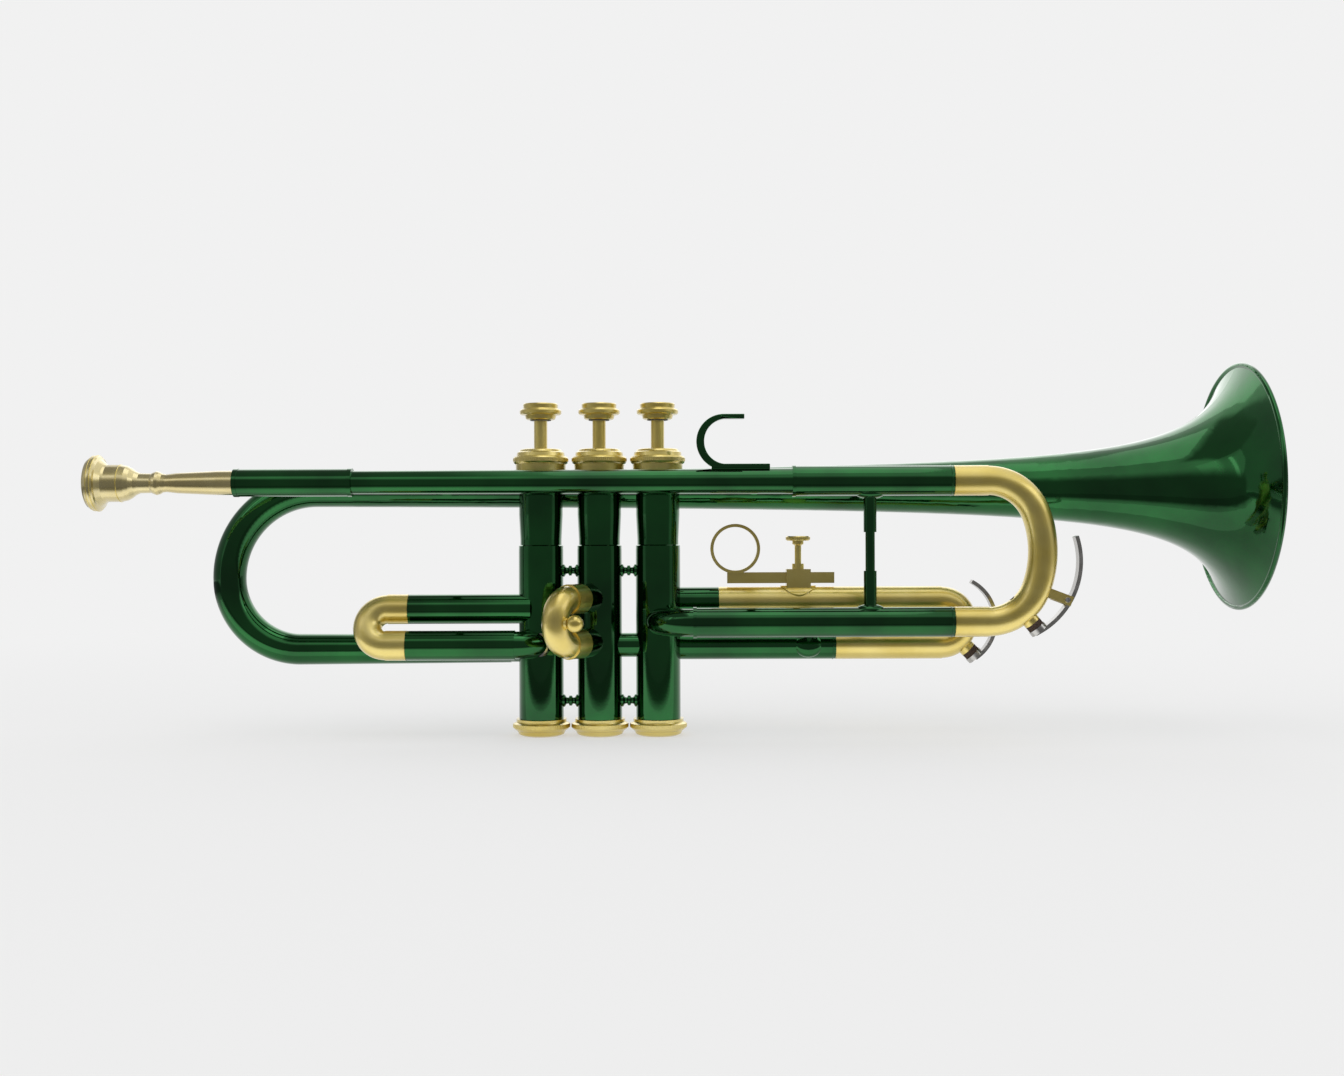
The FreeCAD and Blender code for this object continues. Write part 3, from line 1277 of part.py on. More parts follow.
# a short strut joins the main slide's lower sleeve to the third slide's
side_run = size.leadpipe_side + size.third_side
side_drop = size.main_lower_height - size.third_lower_height
side_reach = root(side_run * side_run + side_drop * side_drop)
side_tilt = math.degrees(math.atan2(side_drop.value, side_run.value))
side_turn = FreeCAD.Rotation(FreeCAD.Vector(1, 0, 0), -side_tilt) * along_y
side_at = (size.side_brace_place, -size.leadpipe_side, size.main_lower_height)
side_foot = doc.addObject("Part::Ellipsoid", "side_brace_foot")
side_foot.setExpression("Radius2", (size.side_brace_foot / 2).text)
side_foot.setExpression("Radius3", (size.side_brace_foot / 2).text)
side_foot.setExpression("Radius1", (sleeve_radius / 2 + size.brace_foot_height).text)
put(side_foot, (size.side_brace_place, size.third_side - side_run * sleeve_radius / side_reach / 2,
                size.third_lower_height + side_drop * sleeve_radius / side_reach / 2), side_turn)
side_strut = cut("side_strut_seated", fused("side_strut_parts", [
    rod("side_strut", size.brace_rod_diameter, side_reach, side_at, side_turn), side_foot,
]), [sleeve_space["lower"], rod("third_sleeve_space", size.sleeve_diameter, size.third_lower_sleeve_end,
                                (0, size.third_side, size.third_lower_height), along_x)])
node("slide_brace", group("slide_brace_set", [slide_post, side_strut]))

across_height = (leadpipe_height + size.bell_height) / 2
# a cross brace widens to its feet, as shares of the socket and of how far each foot stands out
cross_foot_share = 1.5
cross_taper_shares = (1.2, 1.1)
cross_foot = socket_radius * cross_foot_share
bell_braces = []
for name, place in (("back", size.bell_brace_back), ("front", size.bell_brace_front)):
    across_length = size.leadpipe_side + size.bell_side
    foot_out = lead_end_radius + size.brace_foot_height
    horn = Size(horn_radius(bell_edge.value - place.value), repr(horn_radius(bell_edge.value - place.value)))
    bell_foot_out = horn + size.brace_foot_height
    bell_braces.append(cut(f"{name}_brace_seated", turned(f"{name}_brace", [
        (0, 0), (cross_foot, 0), (cross_foot, foot_out), (brace_rod, foot_out * cross_taper_shares[0]),
        (brace_rod, across_length - bell_foot_out * cross_taper_shares[1]),
        (cross_foot, across_length - bell_foot_out), (cross_foot, across_length), (0, across_length),
    ], (place, -size.leadpipe_side, across_height), along_y), [leadpipe_space, bell_space]))
node("bell_braces", group("bell_brace_set", bell_braces))

# Finger hook for the right hand, on top of the leadpipe

hook = size.hook_radius
hook_height = leadpipe_height + size.hook_rise
hook_bore = hook - (size.hook_root + size.hook_tip) / 2
hook_strip = flat("hook_strip", [
    (0, -hook), (-hook, 0, -hook), (0, hook, -hook), (size.hook_lip, hook), (size.hook_lip, hook - size.hook_tip),
    (0, hook - size.hook_tip), (size.hook_back - hook, 0, hook_bore), (0, size.hook_root - hook, hook_bore),
], size.hook_width, (size.hook_centre, -size.leadpipe_side, hook_height))
hook_foot = hook_height - hook
hook_base = block("hook_base",
                  (size.hook_base_start, -size.leadpipe_side - size.hook_width / 2,
                   leadpipe_height + lead_start_radius / 2),
                  (size.hook_base_start + size.hook_base_length, -size.leadpipe_side + size.hook_width / 2,
                   hook_foot + size.hook_root))
node("finger_hook", cut("hook_seated", fused("hook_parts", [hook_strip, hook_base]), [leadpipe_space]))

# Check every object, then write one file for each node

doc.recompute()
for thing in doc.Objects:
    if "Invalid" in thing.State or "Error" in thing.State:
        raise RuntimeError(f"{thing.Name} failed: {thing.State} {thing.getStatusString()}")
for name, thing in nodes.items():
    if thing.Shape.isNull() or not thing.Shape.isValid() or not thing.Shape.Solids:
        raise RuntimeError(f"{name} has no valid solid")

os.makedirs("parts", exist_ok=True)
for name, thing in nodes.items():
    thing.Shape.exportStep(f"parts/{name}.step")
    print(name, len(thing.Shape.Solids), round(thing.Shape.Volume, 1))
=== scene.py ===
import json
import math

import bmesh
import bpy
from mathutils import Matrix, Vector


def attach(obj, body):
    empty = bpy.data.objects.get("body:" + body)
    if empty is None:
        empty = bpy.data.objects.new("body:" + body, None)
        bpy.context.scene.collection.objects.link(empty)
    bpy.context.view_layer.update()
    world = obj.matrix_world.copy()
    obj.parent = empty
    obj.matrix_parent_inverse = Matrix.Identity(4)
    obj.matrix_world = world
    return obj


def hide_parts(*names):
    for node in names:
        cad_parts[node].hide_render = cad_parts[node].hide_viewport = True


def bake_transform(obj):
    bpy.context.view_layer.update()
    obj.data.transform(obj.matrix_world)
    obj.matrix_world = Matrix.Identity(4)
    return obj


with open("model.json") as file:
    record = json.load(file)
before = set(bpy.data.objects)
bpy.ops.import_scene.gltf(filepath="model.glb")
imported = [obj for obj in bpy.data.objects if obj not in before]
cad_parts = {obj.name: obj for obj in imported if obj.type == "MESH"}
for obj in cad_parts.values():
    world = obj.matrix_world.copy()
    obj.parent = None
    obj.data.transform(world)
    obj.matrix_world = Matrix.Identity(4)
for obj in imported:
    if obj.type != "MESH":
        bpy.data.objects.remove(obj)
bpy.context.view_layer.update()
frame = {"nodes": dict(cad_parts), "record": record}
nodes = frame["nodes"]
print("frame loaded:", len(nodes), "nodes")

# camera
cameraSetup = {"place": (0.0349, -0.731, 0.0945), "roll": 0.2, "lens": 40.71, "sensor": 36.0}
cameraData = bpy.data.cameras.new("photoCamera")
cameraData.lens = cameraSetup["lens"]
cameraData.sensor_width = cameraSetup["sensor"]
cameraData.clip_start = 0.01
camera = bpy.data.objects.new("photoCamera", cameraData)
camera.location = cameraSetup["place"]
camera.rotation_euler = (math.radians(90), math.radians(cameraSetup["roll"]), 0)
bpy.context.scene.collection.objects.link(camera)
bpy.context.scene.camera = camera
bpy.context.scene.view_settings.view_transform = "Standard"
print("camera placed")

# studio: pale floor that fades into the background, soft lamps, grey cards for reflections
studio = {
    "background": (0.880, 0.880, 0.880),
    "ambient": 0.75,
    "floorColour": (0.90, 0.90, 0.90),
    "floorSize": 30.0,
    "floorGlow": 0.55,
    "fadeStart": 0.30,
    "fadeEnd": 0.95,
}
lamps = [
    {"name": "topBox", "place": (0.12, -0.10, 1.30), "aim": (0.12, -0.10, 0.0),
     "size": (0.50, 1.2), "power": 1.4},
    {"name": "leftBox", "place": (-1.20, -0.95, 0.75), "aim": (0.0, 0.0, 0.1),
     "size": (1.4, 1.1), "power": 1.5},
    {"name": "rightBox", "place": (1.30, -0.60, 0.60), "aim": (0.0, 0.0, 0.1),
     "size": (0.8, 0.9), "power": 1.8},
    {"name": "backBox", "place": (0.1, 1.20, 0.80), "aim": (0.03, 0.0, 0.1),
     "size": (1.6, 0.9), "power": 3.0},
    {"name": "tableStrip", "place": (0.035, -0.056, 0.003), "aim": (0.035, -0.056, 1.0),
     "size": (0.95, 0.078), "power": 0.09},
    {"name": "leftStrip", "place": (-0.95, -0.55, 0.42), "aim": (0.25, 0.0, 0.12),
     "size": (0.09, 1.0), "power": 0.30},
]
cards = [
    {"name": "frontCard", "middle": (0.0, -0.26, 0.08), "size": (1.5, 0.50), "soft": (0.30, 0.13),
     "tilt": 0, "turn": 0, "colour": (0.19, 0.19, 0.19)},
    {"name": "leftCard", "middle": (-1.60, 0.10, 1.20), "size": (3.4, 3.2), "soft": (0.40, 0.50),
     "tilt": 0, "turn": 90, "colour": (0.36, 0.36, 0.37)},
    {"name": "upperLeftCard", "middle": (-0.85, -0.10, 1.25), "size": (1.5, 1.9), "soft": (0.18, 0.30),
     "tilt": 90, "turn": 0, "colour": (0.26, 0.26, 0.26)},
    {"name": "leftFloorCard", "middle": (-0.95, 0.30, 0.002), "size": (1.3, 1.9), "soft": (0.35, 0.40),
     "tilt": 90, "turn": 0, "colour": (0.14, 0.14, 0.15)},
    {"name": "rightCard", "middle": (0.90, 0.0, 0.16), "size": (1.3, 0.60), "soft": (0.35, 0.20),
     "tilt": 0, "turn": 90, "colour": (0.35, 0.35, 0.35)},
    {"name": "tableCard", "middle": (0.035, -0.50, 0.002), "size": (1.5, 0.80), "soft": (0.30, 0.06),
     "tilt": 90, "turn": 0, "colour": (0.14, 0.14, 0.14)},
]


def newMaterial(name):
    material = bpy.data.materials.new(name)
    material.use_nodes = True
    tree = material.node_tree
    tree.nodes.clear()
    return material, tree


def addNode(tree, kind, inputs=None, **settings):
    node = tree.nodes.new(kind)
    for key, value in settings.items():
        setattr(node, key, value)
    for key, value in (inputs or {}).items():
        if isinstance(value, bpy.types.NodeSocket):
            tree.links.new(value, node.inputs[key])
        else:
            node.inputs[key].default_value = value
    return node


def seenRays(tree):
    # 1 for rays from the camera and for mirrored or passed rays, 0 for rays that only light things
    rays = addNode(tree, "ShaderNodeLightPath").outputs
    first = addNode(tree, "ShaderNodeMath", {0: rays["Is Camera Ray"], 1: rays["Is Glossy Ray"]},
                    operation="MAXIMUM")
    return addNode(tree, "ShaderNodeMath", {0: first.outputs[0], 1: rays["Is Transmission Ray"]},
                   operation="MAXIMUM").outputs[0]


def makeWorld():
    world = bpy.data.worlds.new("studioWorld")
    bpy.context.scene.world = world
    world.use_nodes = True
    tree = world.node_tree
    tree.nodes.clear()
    seen = addNode(tree, "ShaderNodeBackground", {"Color": (*studio["background"], 1), "Strength": 1.0})
    fill = addNode(tree, "ShaderNodeBackground", {"Color": (1, 1, 1, 1), "Strength": studio["ambient"]})
    mix = addNode(tree, "ShaderNodeMixShader", {0: seenRays(tree), 1: fill.outputs[0], 2: seen.outputs[0]})
    addNode(tree, "ShaderNodeOutputWorld", {"Surface": mix.outputs[0]})


def makeFloor():
    mesh = bpy.data.meshes.new("floor")
    form = bmesh.new()
    bmesh.ops.create_grid(form, x_segments=1, y_segments=1, size=studio["floorSize"])
    form.to_mesh(mesh)
    form.free()
    floor = bpy.data.objects.new("floor", mesh)
    bpy.context.scene.collection.objects.link(floor)
    material, tree = newMaterial("paleFloor")
    place = addNode(tree, "ShaderNodeTexCoord").outputs["Object"]
    reach = addNode(tree, "ShaderNodeVectorMath", {0: place}, operation="LENGTH").outputs["Value"]
    fade = addNode(tree, "ShaderNodeMapRange", {"Value": reach, "From Min": studio["fadeStart"],
                                                "From Max": studio["fadeEnd"], "To Min": studio["floorGlow"]},
                   interpolation_type="SMOOTHSTEP")
    amount = addNode(tree, "ShaderNodeMath", {0: fade.outputs[0], 1: seenRays(tree)}, operation="MULTIPLY")
    matt = addNode(tree, "ShaderNodeBsdfDiffuse", {"Color": (*studio["floorColour"], 1)})
    glow = addNode(tree, "ShaderNodeEmission", {"Color": (*studio["background"], 1), "Strength": 1.0})
    mix = addNode(tree, "ShaderNodeMixShader", {0: amount.outputs[0], 1: matt.outputs[0], 2: glow.outputs[0]})
    addNode(tree, "ShaderNodeOutputMaterial", {"Surface": mix.outputs[0]})
    mesh.materials.append(material)


def makeLamp(lamp):
    data = bpy.data.lights.new(lamp["name"], "AREA")
    data.shape = "RECTANGLE"
    data.size, data.size_y = lamp["size"]
    data.energy = lamp["power"]
    item = bpy.data.objects.new(lamp["name"], data)
    item.location = lamp["place"]
    item.rotation_euler = (Vector(lamp["aim"]) - Vector(lamp["place"])).to_track_quat("-Z", "Y").to_euler()
    item.visible_camera = False
    bpy.context.scene.collection.objects.link(item)


def makeCard(card):
    # a grey card that only reflections see, with soft edges
    mesh = bpy.data.meshes.new(card["name"])
    form = bmesh.new()
    bmesh.ops.create_grid(form, x_segments=1, y_segments=1, size=0.5)
    bmesh.ops.scale(form, vec=(card["size"][0], card["size"][1], 1), verts=form.verts)
    bmesh.ops.rotate(form, matrix=Matrix.Rotation(math.radians(90), 3, "X"), verts=form.verts)
    form.to_mesh(mesh)
    form.free()
    item = bpy.data.objects.new(card["name"], mesh)
    item.location = card["middle"]
    item.rotation_euler = (math.radians(card["tilt"]), 0, math.radians(card["turn"]))
    bpy.context.scene.collection.objects.link(item)
    material, tree = newMaterial(card["name"])
    place = addNode(tree, "ShaderNodeTexCoord").outputs["Object"]
    split = addNode(tree, "ShaderNodeSeparateXYZ", {0: place})
    cover = None
    for axis, width, soft in zip(("X", "Z"), card["size"], card["soft"]):
        away = addNode(tree, "ShaderNodeMath", {0: split.outputs[axis]}, operation="ABSOLUTE")
        edge = addNode(tree, "ShaderNodeMapRange", {"Value": away.outputs[0], "From Min": width / 2 - soft,
                                                    "From Max": width / 2, "To Min": 1.0, "To Max": 0.0},
                       interpolation_type="SMOOTHSTEP").outputs[0]
        cover = edge if cover is None else addNode(tree, "ShaderNodeMath", {0: cover, 1: edge},
                                                   operation="MULTIPLY").outputs[0]
    clear = addNode(tree, "ShaderNodeBsdfTransparent")
    matt = addNode(tree, "ShaderNodeEmission", {"Color": (*card["colour"], 1), "Strength": 1.0})
    mix = addNode(tree, "ShaderNodeMixShader", {0: cover, 1: clear.outputs[0], 2: matt.outputs[0]})
    addNode(tree, "ShaderNodeOutputMaterial", {"Surface": mix.outputs[0]})
    mesh.materials.append(material)
    item.visible_camera = False
    item.visible_diffuse = False
    item.visible_shadow = False


makeWorld()
makeFloor()
for lamp in lamps:
    makeLamp(lamp)
for card in cards:
    makeCard(card)
print("studio ready")

def objectPlace(tree):
    return addNode(tree, "ShaderNodeTexCoord").outputs["Object"]


def noise(tree, place, scale, detail, roughness=0.5):
    return addNode(tree, "ShaderNodeTexNoise", {"Vector": place, "Scale": scale, "Detail": detail,
                                                "Roughness": roughness}).outputs["Fac"]


def spread(tree, value, low, high, fromLow=0.35, fromHigh=0.65):
    return addNode(tree, "ShaderNodeMapRange", {"Value": value, "From Min": fromLow, "From Max": fromHigh,
                                                "To Min": low, "To Max": high}).outputs["Result"]


def mixColour(tree, amount, first, second):
    node = addNode(tree, "ShaderNodeMix", data_type="RGBA")
    tree.links.new(amount, node.inputs["Factor"])
    for socket in node.inputs:
        if socket.type == "RGBA" and socket.name in ("A", "B"):
            socket.default_value = (*(first if socket.name == "A" else second), 1)
    return [socket for socket in node.outputs if socket.type == "RGBA"][0]


def finishMaterial(tree, inputs, height=None, bump=0.0, depth=0.0):
    shader = addNode(tree, "ShaderNodeBsdfPrincipled", inputs)
    if height is not None:
        relief = addNode(tree, "ShaderNodeBump", {"Height": height, "Strength": bump, "Distance": depth})
        tree.links.new(relief.outputs["Normal"], shader.inputs["Normal"])
    addNode(tree, "ShaderNodeOutputMaterial", {"Surface": shader.outputs[0]})


# clear green lacquer over drawn brass tube, with faint lines along the tubes
lacquer = {
    "deep": (0.006, 0.064, 0.014),
    "clear": (0.013, 0.130, 0.027),
    "roughness": (0.06, 0.10),
    "coatWeight": 0.55,
    "coatIndex": 1.45,
    "coatRoughness": 0.03,
    "cloud": {"scale": 22.0, "detail": 4.0},
    "grain": {"scale": 900.0, "detail": 2.0},
    "wave": {"scale": 160.0, "detail": 2.0},
    "lines": {"scale": 60.0, "detail": 3.0},
    "drawn": (0.12, 1.0, 1.0),
    "lineShare": 6.0,
    "bump": 0.016,
    "depth": 0.0004,
}


def greenLacquer():
    material, tree = newMaterial("greenLacquer")
    place = objectPlace(tree)
    cloud = noise(tree, place, **lacquer["cloud"])
    grain = noise(tree, place, **lacquer["grain"])
    wave = noise(tree, place, **lacquer["wave"])
    colour = mixColour(tree, spread(tree, cloud, 0.0, 1.0), lacquer["deep"], lacquer["clear"])
    rough = spread(tree, cloud, *lacquer["roughness"])
    drawn = addNode(tree, "ShaderNodeMapping", {"Vector": place, "Scale": lacquer["drawn"]}).outputs[0]
    lines = noise(tree, drawn, **lacquer["lines"])
    fine = addNode(tree, "ShaderNodeMath", {0: wave, 1: grain}, operation="ADD").outputs[0]
    height = addNode(tree, "ShaderNodeMath", {0: lines, 1: lacquer["lineShare"], 2: fine},
                     operation="MULTIPLY_ADD").outputs[0]
    finishMaterial(tree, {"Base Color": colour, "Metallic": 1.0, "Roughness": rough,
                          "Coat Weight": lacquer["coatWeight"], "Coat IOR": lacquer["coatIndex"],
                          "Coat Roughness": lacquer["coatRoughness"]},
                   height, lacquer["bump"], lacquer["depth"])
    return material


# brass of slides, caps and buttons, and the paler plate of the mouthpiece
goldBrass = {
    "pale": (0.81, 0.660, 0.185),
    "deep": (0.71, 0.545, 0.100),
    "roughness": (0.33, 0.41),
    "coatIndex": 1.75,
    "coatRoughness": 0.15,
}
palePlate = {
    "pale": (0.70, 0.59, 0.245),
    "deep": (0.60, 0.48, 0.150),
    "roughness": (0.24, 0.32),
    "coatIndex": 2.2,
    "coatRoughness": 0.10,
}
brassPattern = {
    "cloud": {"scale": 45.0, "detail": 5.0},
    "lines": {"scale": 30.0, "detail": 2.0},
    "stretch": (1.0, 5.0, 5.0),
}


def brassFinish(name, tones):
    material, tree = newMaterial(name)
    place = objectPlace(tree)
    cloud = noise(tree, place, **brassPattern["cloud"])
    streak = addNode(tree, "ShaderNodeMapping", {"Vector": place, "Scale": brassPattern["stretch"]}).outputs[0]
    lines = noise(tree, streak, **brassPattern["lines"])
    colour = mixColour(tree, spread(tree, cloud, 0.0, 1.0), tones["deep"], tones["pale"])
    rough = spread(tree, lines, *tones["roughness"])
    finishMaterial(tree, {"Base Color": colour, "Metallic": 1.0, "Roughness": rough, "Coat Weight": 1.0,
                          "Coat Roughness": tones["coatRoughness"], "Coat IOR": tones["coatIndex"]})
    return material


# white metals: nickel of the key levers, steel of springs, pins and screws
nickelPlate = {
    "dark": (0.44, 0.43, 0.41),
    "pale": (0.56, 0.55, 0.53),
    "roughness": (0.18, 0.32),
    "lines": {"scale": 240.0, "detail": 4.0},
    "bump": 0.06,
    "depth": 0.0002,
}
springSteel = {
    "dark": (0.40, 0.39, 0.38),
    "pale": (0.58, 0.57, 0.56),
    "roughness": (0.25, 0.4),
    "lines": {"scale": 500.0, "detail": 3.0},
    "bump": 0.1,
    "depth": 0.0002,
}


def whiteMetal(name, tones):
    material, tree = newMaterial(name)
    lines = noise(tree, objectPlace(tree), **tones["lines"])
    colour = mixColour(tree, spread(tree, lines, 0.0, 1.0), tones["dark"], tones["pale"])
    finishMaterial(tree, {"Base Color": colour, "Metallic": 1.0,
                          "Roughness": spread(tree, lines, *tones["roughness"])},
                   lines, tones["bump"], tones["depth"])
    return material


# cork of the water keys
cork = {
    "dark": (0.018, 0.010, 0.007),
    "pale": (0.062, 0.036, 0.022),
    "roughness": 0.85,
    "cellScale": 1400.0,
    "cellRange": (0.1, 0.7),
    "bump": 0.5,
    "depth": 0.0003,
}


def darkCork():
    material, tree = newMaterial("darkCork")
    cells = addNode(tree, "ShaderNodeTexVoronoi",
                    {"Vector": objectPlace(tree), "Scale": cork["cellScale"]}).outputs["Distance"]
    colour = mixColour(tree, spread(tree, cells, 0.0, 1.0, *cork["cellRange"]), cork["dark"], cork["pale"])
    finishMaterial(tree, {"Base Color": colour, "Roughness": cork["roughness"]},
                   cells, cork["bump"], cork["depth"])
    return material


# felt washers of the valves
felt = {
    "dark": (0.012, 0.010, 0.010),
    "pale": (0.060, 0.050, 0.050),
    "roughness": 0.95,
    "sheen": 0.4,
    "hairs": {"scale": 1800.0, "detail": 5.0, "roughness": 0.8},
    "bump": 0.7,
    "depth": 0.0004,
}


def blackFelt():
    material, tree = newMaterial("blackFelt")
    hairs = noise(tree, objectPlace(tree), **felt["hairs"])
    colour = mixColour(tree, spread(tree, hairs, 0.0, 1.0), felt["dark"], felt["pale"])
    finishMaterial(tree, {"Base Color": colour, "Roughness": felt["roughness"], "Sheen Weight": felt["sheen"]},
                   hairs, felt["bump"], felt["depth"])
    return material


# shell pearls in the finger buttons
pearl = {
    "green": (0.62, 0.66, 0.62),
    "rose": (0.86, 0.82, 0.78),
    "roughness": 0.18,
    "coatWeight": 0.6,
    "coatRoughness": 0.05,
    "swirlScale": 160.0,
    "swirlDetail": 4.0,
    "distortion": 2.5,
    "bump": 0.05,
    "depth": 0.0002,
}


def shellPearl():
    material, tree = newMaterial("shellPearl")
    swirl = addNode(tree, "ShaderNodeTexNoise",
                    {"Vector": objectPlace(tree), "Scale": pearl["swirlScale"], "Detail": pearl["swirlDetail"],
                     "Distortion": pearl["distortion"]}).outputs["Fac"]
    colour = mixColour(tree, spread(tree, swirl, 0.0, 1.0), pearl["green"], pearl["rose"])
    finishMaterial(tree, {"Base Color": colour, "Roughness": pearl["roughness"],
                          "Coat Weight": pearl["coatWeight"], "Coat Roughness": pearl["coatRoughness"]},
                   swirl, pearl["bump"], pearl["depth"])
    return material


finishes = {
    "green_lacquer": greenLacquer(),
    "gold_brass": brassFinish("goldBrass", goldBrass),
    "nickel": whiteMetal("nickelPlate", nickelPlate),
    "spring_steel": whiteMetal("springSteel", springSteel),
    "cork": darkCork(),
    "felt": blackFelt(),
    "pearl": shellPearl(),
}
for part in frame["record"]["subparts"]:
    item = nodes[part["node"]]
    item.data.materials.clear()
    item.data.materials.append(finishes[part["material_slot"]])
nodes["mouthpiece"].data.materials[0] = brassFinish("palePlate", palePlate)

# rounded edges on the strip of the finger hook
hookEdge = {"width": 0.0009, "segments": 3, "angle": 40, "weld": 0.00001}
hook = nodes["finger_hook"]
weld = hook.modifiers.new("weld", "WELD")
weld.merge_threshold = hookEdge["weld"]
bevel = hook.modifiers.new("bevel", "BEVEL")
bevel.width = hookEdge["width"]
bevel.segments = hookEdge["segments"]
bevel.limit_method = "ANGLE"
bevel.angle_limit = math.radians(hookEdge["angle"])
for face in hook.data.polygons:
    face.use_smooth = True
print("finishes set")


# small pieces that the solids leave out, with their lengths in millimetres
def mm(*values):
    return Vector([value / 1000 for value in values])


def addPiece(name, form, body, slotName, smooth=True):
    bmesh.ops.recalc_face_normals(form, faces=form.faces)
    mesh = bpy.data.meshes.new(name)
    form.to_mesh(mesh)
    form.free()
    for face in mesh.polygons:
        face.use_smooth = smooth
    mesh.materials.append(finishes[slotName])
    item = bpy.data.objects.new(name, mesh)
    bpy.context.scene.collection.objects.link(item)
    if body is not None:
        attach(item, body)
    return item


def ringEdges(verts):
    # the edges that join these corners, each once and always in the same order
    return list(dict.fromkeys(edge for vert in verts for edge in vert.link_edges))


def knurlBand(form, centre, band):
    # a ring of fine upright teeth, sunk into the rim that it goes round
    inner = (band["valley"] - knurlSink) / band["valley"]
    ring = bmesh.ops.create_circle(form, cap_ends=False, segments=band["teeth"] * 2,
                                   radius=band["valley"] / 1000,
                                   matrix=Matrix.Translation(mm(0, 0, band["low"])))["verts"]
    edges = firstEdges = ringEdges(ring)
    levels = []
    for rise in (0.0, band["high"] - band["low"], 0.0):
        grown = bmesh.ops.extrude_edge_only(form, edges=edges)["geom"]
        verts = [item for item in grown if isinstance(item, bmesh.types.BMVert)]
        edges = [item for item in grown if isinstance(item, bmesh.types.BMEdge)]
        bmesh.ops.translate(form, verts=verts, vec=mm(0, 0, rise))
        levels.append(verts)
    bmesh.ops.scale(form, vec=(inner, inner, 1), verts=ring + levels[2])
    bmesh.ops.bridge_loops(form, edges=firstEdges + edges)
    crest = band["crest"] / band["valley"]
    for verts in levels[:2]:
        raised = [vert for vert in verts
                  if round(math.atan2(vert.co.y, vert.co.x) / (math.pi / band["teeth"])) % 2 == 0]
        bmesh.ops.scale(form, vec=(crest, crest, 1), verts=raised)
    bmesh.ops.translate(form, verts=ring + levels[0] + levels[1] + levels[2], vec=mm(*centre))


def wireCircle(form, place, wire, sides):
    # the round cross-section that a wire is drawn from
    verts = bmesh.ops.create_circle(form, cap_ends=False, segments=sides, radius=wire / 1000,
                                    matrix=place)["verts"]
    return verts, ringEdges(verts)


def beadRing(form, centre, radius, wire):
    # a fine round bead about an axis along X
    along, side, height = centre
    place = Matrix.Translation(mm(along, side, height + radius)) @ standing
    verts, edges = wireCircle(form, place, wire, beadMesh["sides"])
    bmesh.ops.spin(form, geom=verts + edges, cent=mm(*centre), axis=(1, 0, 0), angle=math.radians(360),
                   steps=beadMesh["steps"], use_merge=True)


standing = Matrix.Rotation(math.radians(90), 4, "X")
knurlSink = 0.3
beadMesh = {"sides": 12, "steps": 96}
valvePlaces = (-28.1, 0.0, 28.1)
clampScrewPlace = (95.85, 5.0, 0)
leadpipeLine = (-19.0, 121.0)
topKnurl = {"low": 131.45, "high": 132.75, "valley": 13.12, "crest": 13.26, "teeth": 84}
bottomKnurl = {"low": 4.0, "high": 5.6, "valley": 13.56, "crest": 13.70, "teeth": 88}
for name, band in (("topCapKnurls", topKnurl), ("bottomCapKnurls", bottomKnurl)):
    form = bmesh.new()
    for place in valvePlaces:
        knurlBand(form, (place, 0, 0), band)
    addPiece(name, form, "body", "gold_brass", smooth=False)

screwKnurl = {"low": 93.5, "high": 94.7, "valley": 5.80, "crest": 5.93, "teeth": 40}
form = bmesh.new()
knurlBand(form, clampScrewPlace, screwKnurl)
addPiece("clampScrewKnurl", form, "clamp_screw", "gold_brass", smooth=False)
print("knurls ready")

# fine beads where the sleeves end and round the mouthpiece
sleeveBeads = {
    "wire": 0.32,
    "radius": 6.98,
    "places": ((165.4, -19.0, 121.0), (165.4, -19.0, 54.8), (112.3, 5.0, 42.8)),
}
form = bmesh.new()
for place in sleeveBeads["places"]:
    beadRing(form, place, sleeveBeads["radius"], sleeveBeads["wire"])
addPiece("sleeveBeads", form, "body", "green_lacquer")

mouthpieceBeads = {
    "wire": 0.28,
    "rings": ((-235.2, 12.78), (-233.5, 12.95), (-222.9, 8.60)),
}
form = bmesh.new()
for along, radius in mouthpieceBeads["rings"]:
    beadRing(form, (along, *leadpipeLine), radius, mouthpieceBeads["wire"])
addPiece("mouthpieceBeads", form, "mouthpiece", "gold_brass")
print("beads ready")

# pivot screws and springs of the water keys
keys = (
    {"name": "mainKey", "pivot": (219.177, -19.0, 65.0), "turn": 30.0,
     "seat": "main_slide", "lever": "main_water_key"},
    {"name": "thirdKey", "pivot": (189.188, 5.0, 53.312), "turn": 2.0,
     "seat": "third_slide", "lever": "third_water_key"},
)
pivotScrew = {
    "radius": 1.45,
    "crownShare": 0.84,
    "thick": 0.7,
    "sides": 36,
    "slot": 0.45,
    "slotDeep": 0.35,
    "lug": 4.0,
    "coilRoom": 1.9,
    "pin": 0.75,
    "pinSides": 24,
}
keySpring = {
    "wire": 0.27,
    "sides": 10,
    "coil": 1.30,
    "turns": 2.25,
    "steps": 72,
    "pitch": 0.60,
    "leverLeg": 5.0,
    "hook": 1.6,
    "hookRise": 0.3,
    "bendLeg": 4.6,
    "clear": 0.05,
}


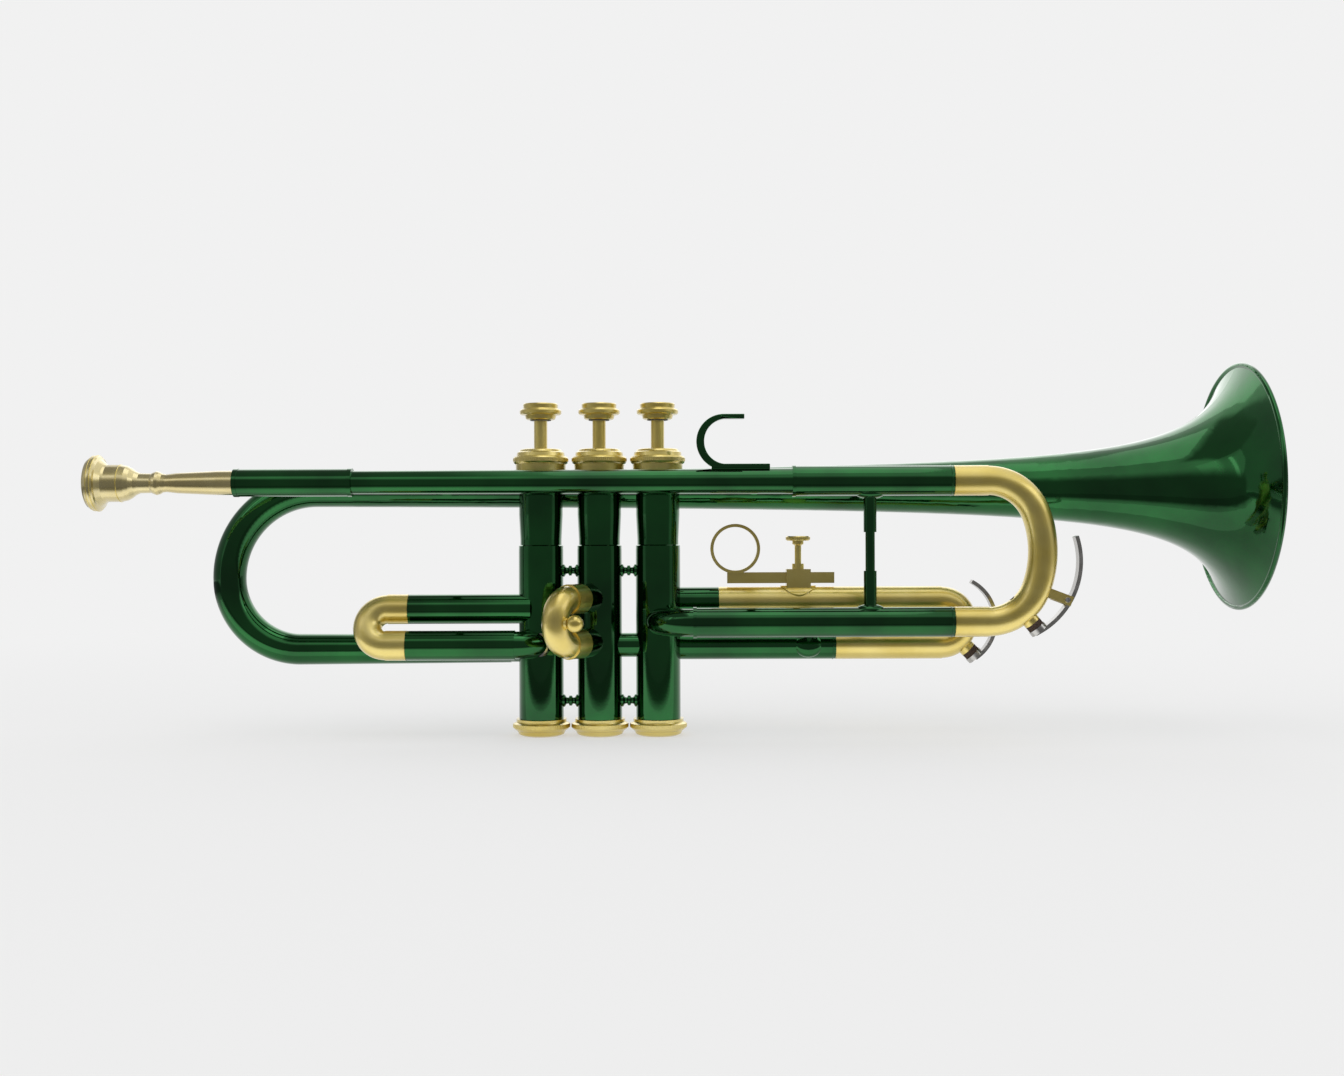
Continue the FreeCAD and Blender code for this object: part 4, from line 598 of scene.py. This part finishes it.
def slottedScrew(form, place, facing):
    # a low screw head whose slot faces along -Y or +Y
    thick = pivotScrew["thick"] / 1000
    halfSlot = pivotScrew["slot"] / 2000
    nearTop = 0.9
    bmesh.ops.create_cone(form, cap_ends=True, segments=pivotScrew["sides"], radius1=pivotScrew["radius"] / 1000,
                          radius2=pivotScrew["radius"] * pivotScrew["crownShare"] / 1000, depth=thick,
                          matrix=Matrix.Translation((0, 0, thick / 2)))
    for edge in (-halfSlot, halfSlot):
        bmesh.ops.bisect_plane(form, geom=form.verts[:] + form.edges[:] + form.faces[:],
                               plane_co=(edge, 0, 0), plane_no=(1, 0, 0))
    floor = [face for face in form.faces
             if face.normal.z > nearTop and face.calc_center_median().z > thick * nearTop
             and abs(face.calc_center_median().x) < halfSlot]
    sunk = bmesh.ops.extrude_face_region(form, geom=floor)["geom"]
    bmesh.ops.translate(form, verts=[item for item in sunk if isinstance(item, bmesh.types.BMVert)],
                        vec=mm(0, 0, -pivotScrew["slotDeep"]))
    bmesh.ops.delete(form, geom=[face for face in floor if face.is_valid], context="FACES_ONLY")
    bmesh.ops.rotate(form, matrix=Matrix.Rotation(math.radians(-90 * facing), 3, "X"), verts=form.verts)
    bmesh.ops.translate(form, verts=form.verts, vec=mm(*place))


def lengthen(form, edges, way):
    # draws an open wire end on by one straight run
    grown = bmesh.ops.extrude_edge_only(form, edges=edges)["geom"]
    bmesh.ops.translate(form, verts=[item for item in grown if isinstance(item, bmesh.types.BMVert)], vec=way)
    return [item for item in grown if isinstance(item, bmesh.types.BMEdge)]


def torsionSpring(form, key):
    # wound round the pivot, with one leg on the lever and one on the tube
    spring = keySpring
    verts, startEdges = wireCircle(form, Matrix.Translation(mm(spring["coil"], 0, 0)), spring["wire"],
                                   spring["sides"])
    last = bmesh.ops.spin(form, geom=verts + startEdges, cent=(0, 0, 0), axis=(0, 1, 0),
                          dvec=mm(0, spring["pitch"] * spring["turns"] / spring["steps"], 0),
                          angle=math.radians(360 * spring["turns"]), steps=spring["steps"])["geom_last"]
    lastEdges = [item for item in last if isinstance(item, bmesh.types.BMEdge)]
    legEnd = lengthen(form, startEdges, mm(0, 0, spring["leverLeg"]))
    lengthen(form, legEnd, mm(0, -spring["hook"], spring["hookRise"]))
    lengthen(form, lastEdges, mm(-spring["bendLeg"], 0, 0))
    bmesh.ops.holes_fill(form, edges=form.edges[:])
    bmesh.ops.rotate(form, matrix=Matrix.Rotation(math.radians(key["turn"]), 3, "Y"), verts=form.verts)
    along, side, height = key["pivot"]
    beside = side + pivotScrew["lug"] + spring["wire"] + spring["clear"]
    bmesh.ops.translate(form, verts=form.verts, vec=mm(along, beside, height))


for key in keys:
    along, side, height = key["pivot"]
    near = side - pivotScrew["lug"]
    far = side + pivotScrew["lug"] + pivotScrew["coilRoom"]
    for label, place, facing in (("Near", near, -1), ("Far", far, 1)):
        form = bmesh.new()
        slottedScrew(form, (along, place, height), facing)
        addPiece(key["name"] + label + "Screw", form, key["seat"], "spring_steel", smooth=False)
    form = bmesh.new()
    pin = pivotScrew["pin"] / 1000
    bmesh.ops.create_cone(form, cap_ends=True, segments=pivotScrew["pinSides"], radius1=pin, radius2=pin,
                          depth=pivotScrew["coilRoom"] / 1000, matrix=standing)
    bmesh.ops.translate(form, verts=form.verts, vec=mm(along, far - pivotScrew["coilRoom"] / 2, height))
    addPiece(key["name"] + "PinEnd", form, key["seat"], "spring_steel")
    form = bmesh.new()
    torsionSpring(form, key)
    addPiece(key["name"] + "Spring", form, key["lever"], "spring_steel")
print("key screws and springs ready")

# coil springs of the valves, between guide and plate
valveSpring = {"low": 91.4, "high": 128.2, "radius": 5.55, "wire": 0.45, "sides": 10, "turns": 10.5, "steps": 336}


def coilSpring(form, across, spring):
    rise = spring["high"] - spring["low"] - 2 * spring["wire"]
    place = Matrix.Translation(mm(across + spring["radius"], 0, spring["low"] + spring["wire"])) @ standing
    verts, edges = wireCircle(form, place, spring["wire"], spring["sides"])
    bmesh.ops.spin(form, geom=verts + edges, cent=mm(across, 0, 0), axis=(0, 0, 1),
                   dvec=mm(0, 0, rise / spring["steps"]), angle=math.radians(360 * spring["turns"]),
                   steps=spring["steps"])
    bmesh.ops.holes_fill(form, edges=form.edges[:])


for number, across in enumerate(valvePlaces, 1):
    form = bmesh.new()
    coilSpring(form, across, valveSpring)
    spring = addPiece(f"valveSpringCoil{number}", form, None, "spring_steel")
    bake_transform(spring)
    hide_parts(f"valve_spring_{number}")
print("valve springs ready")
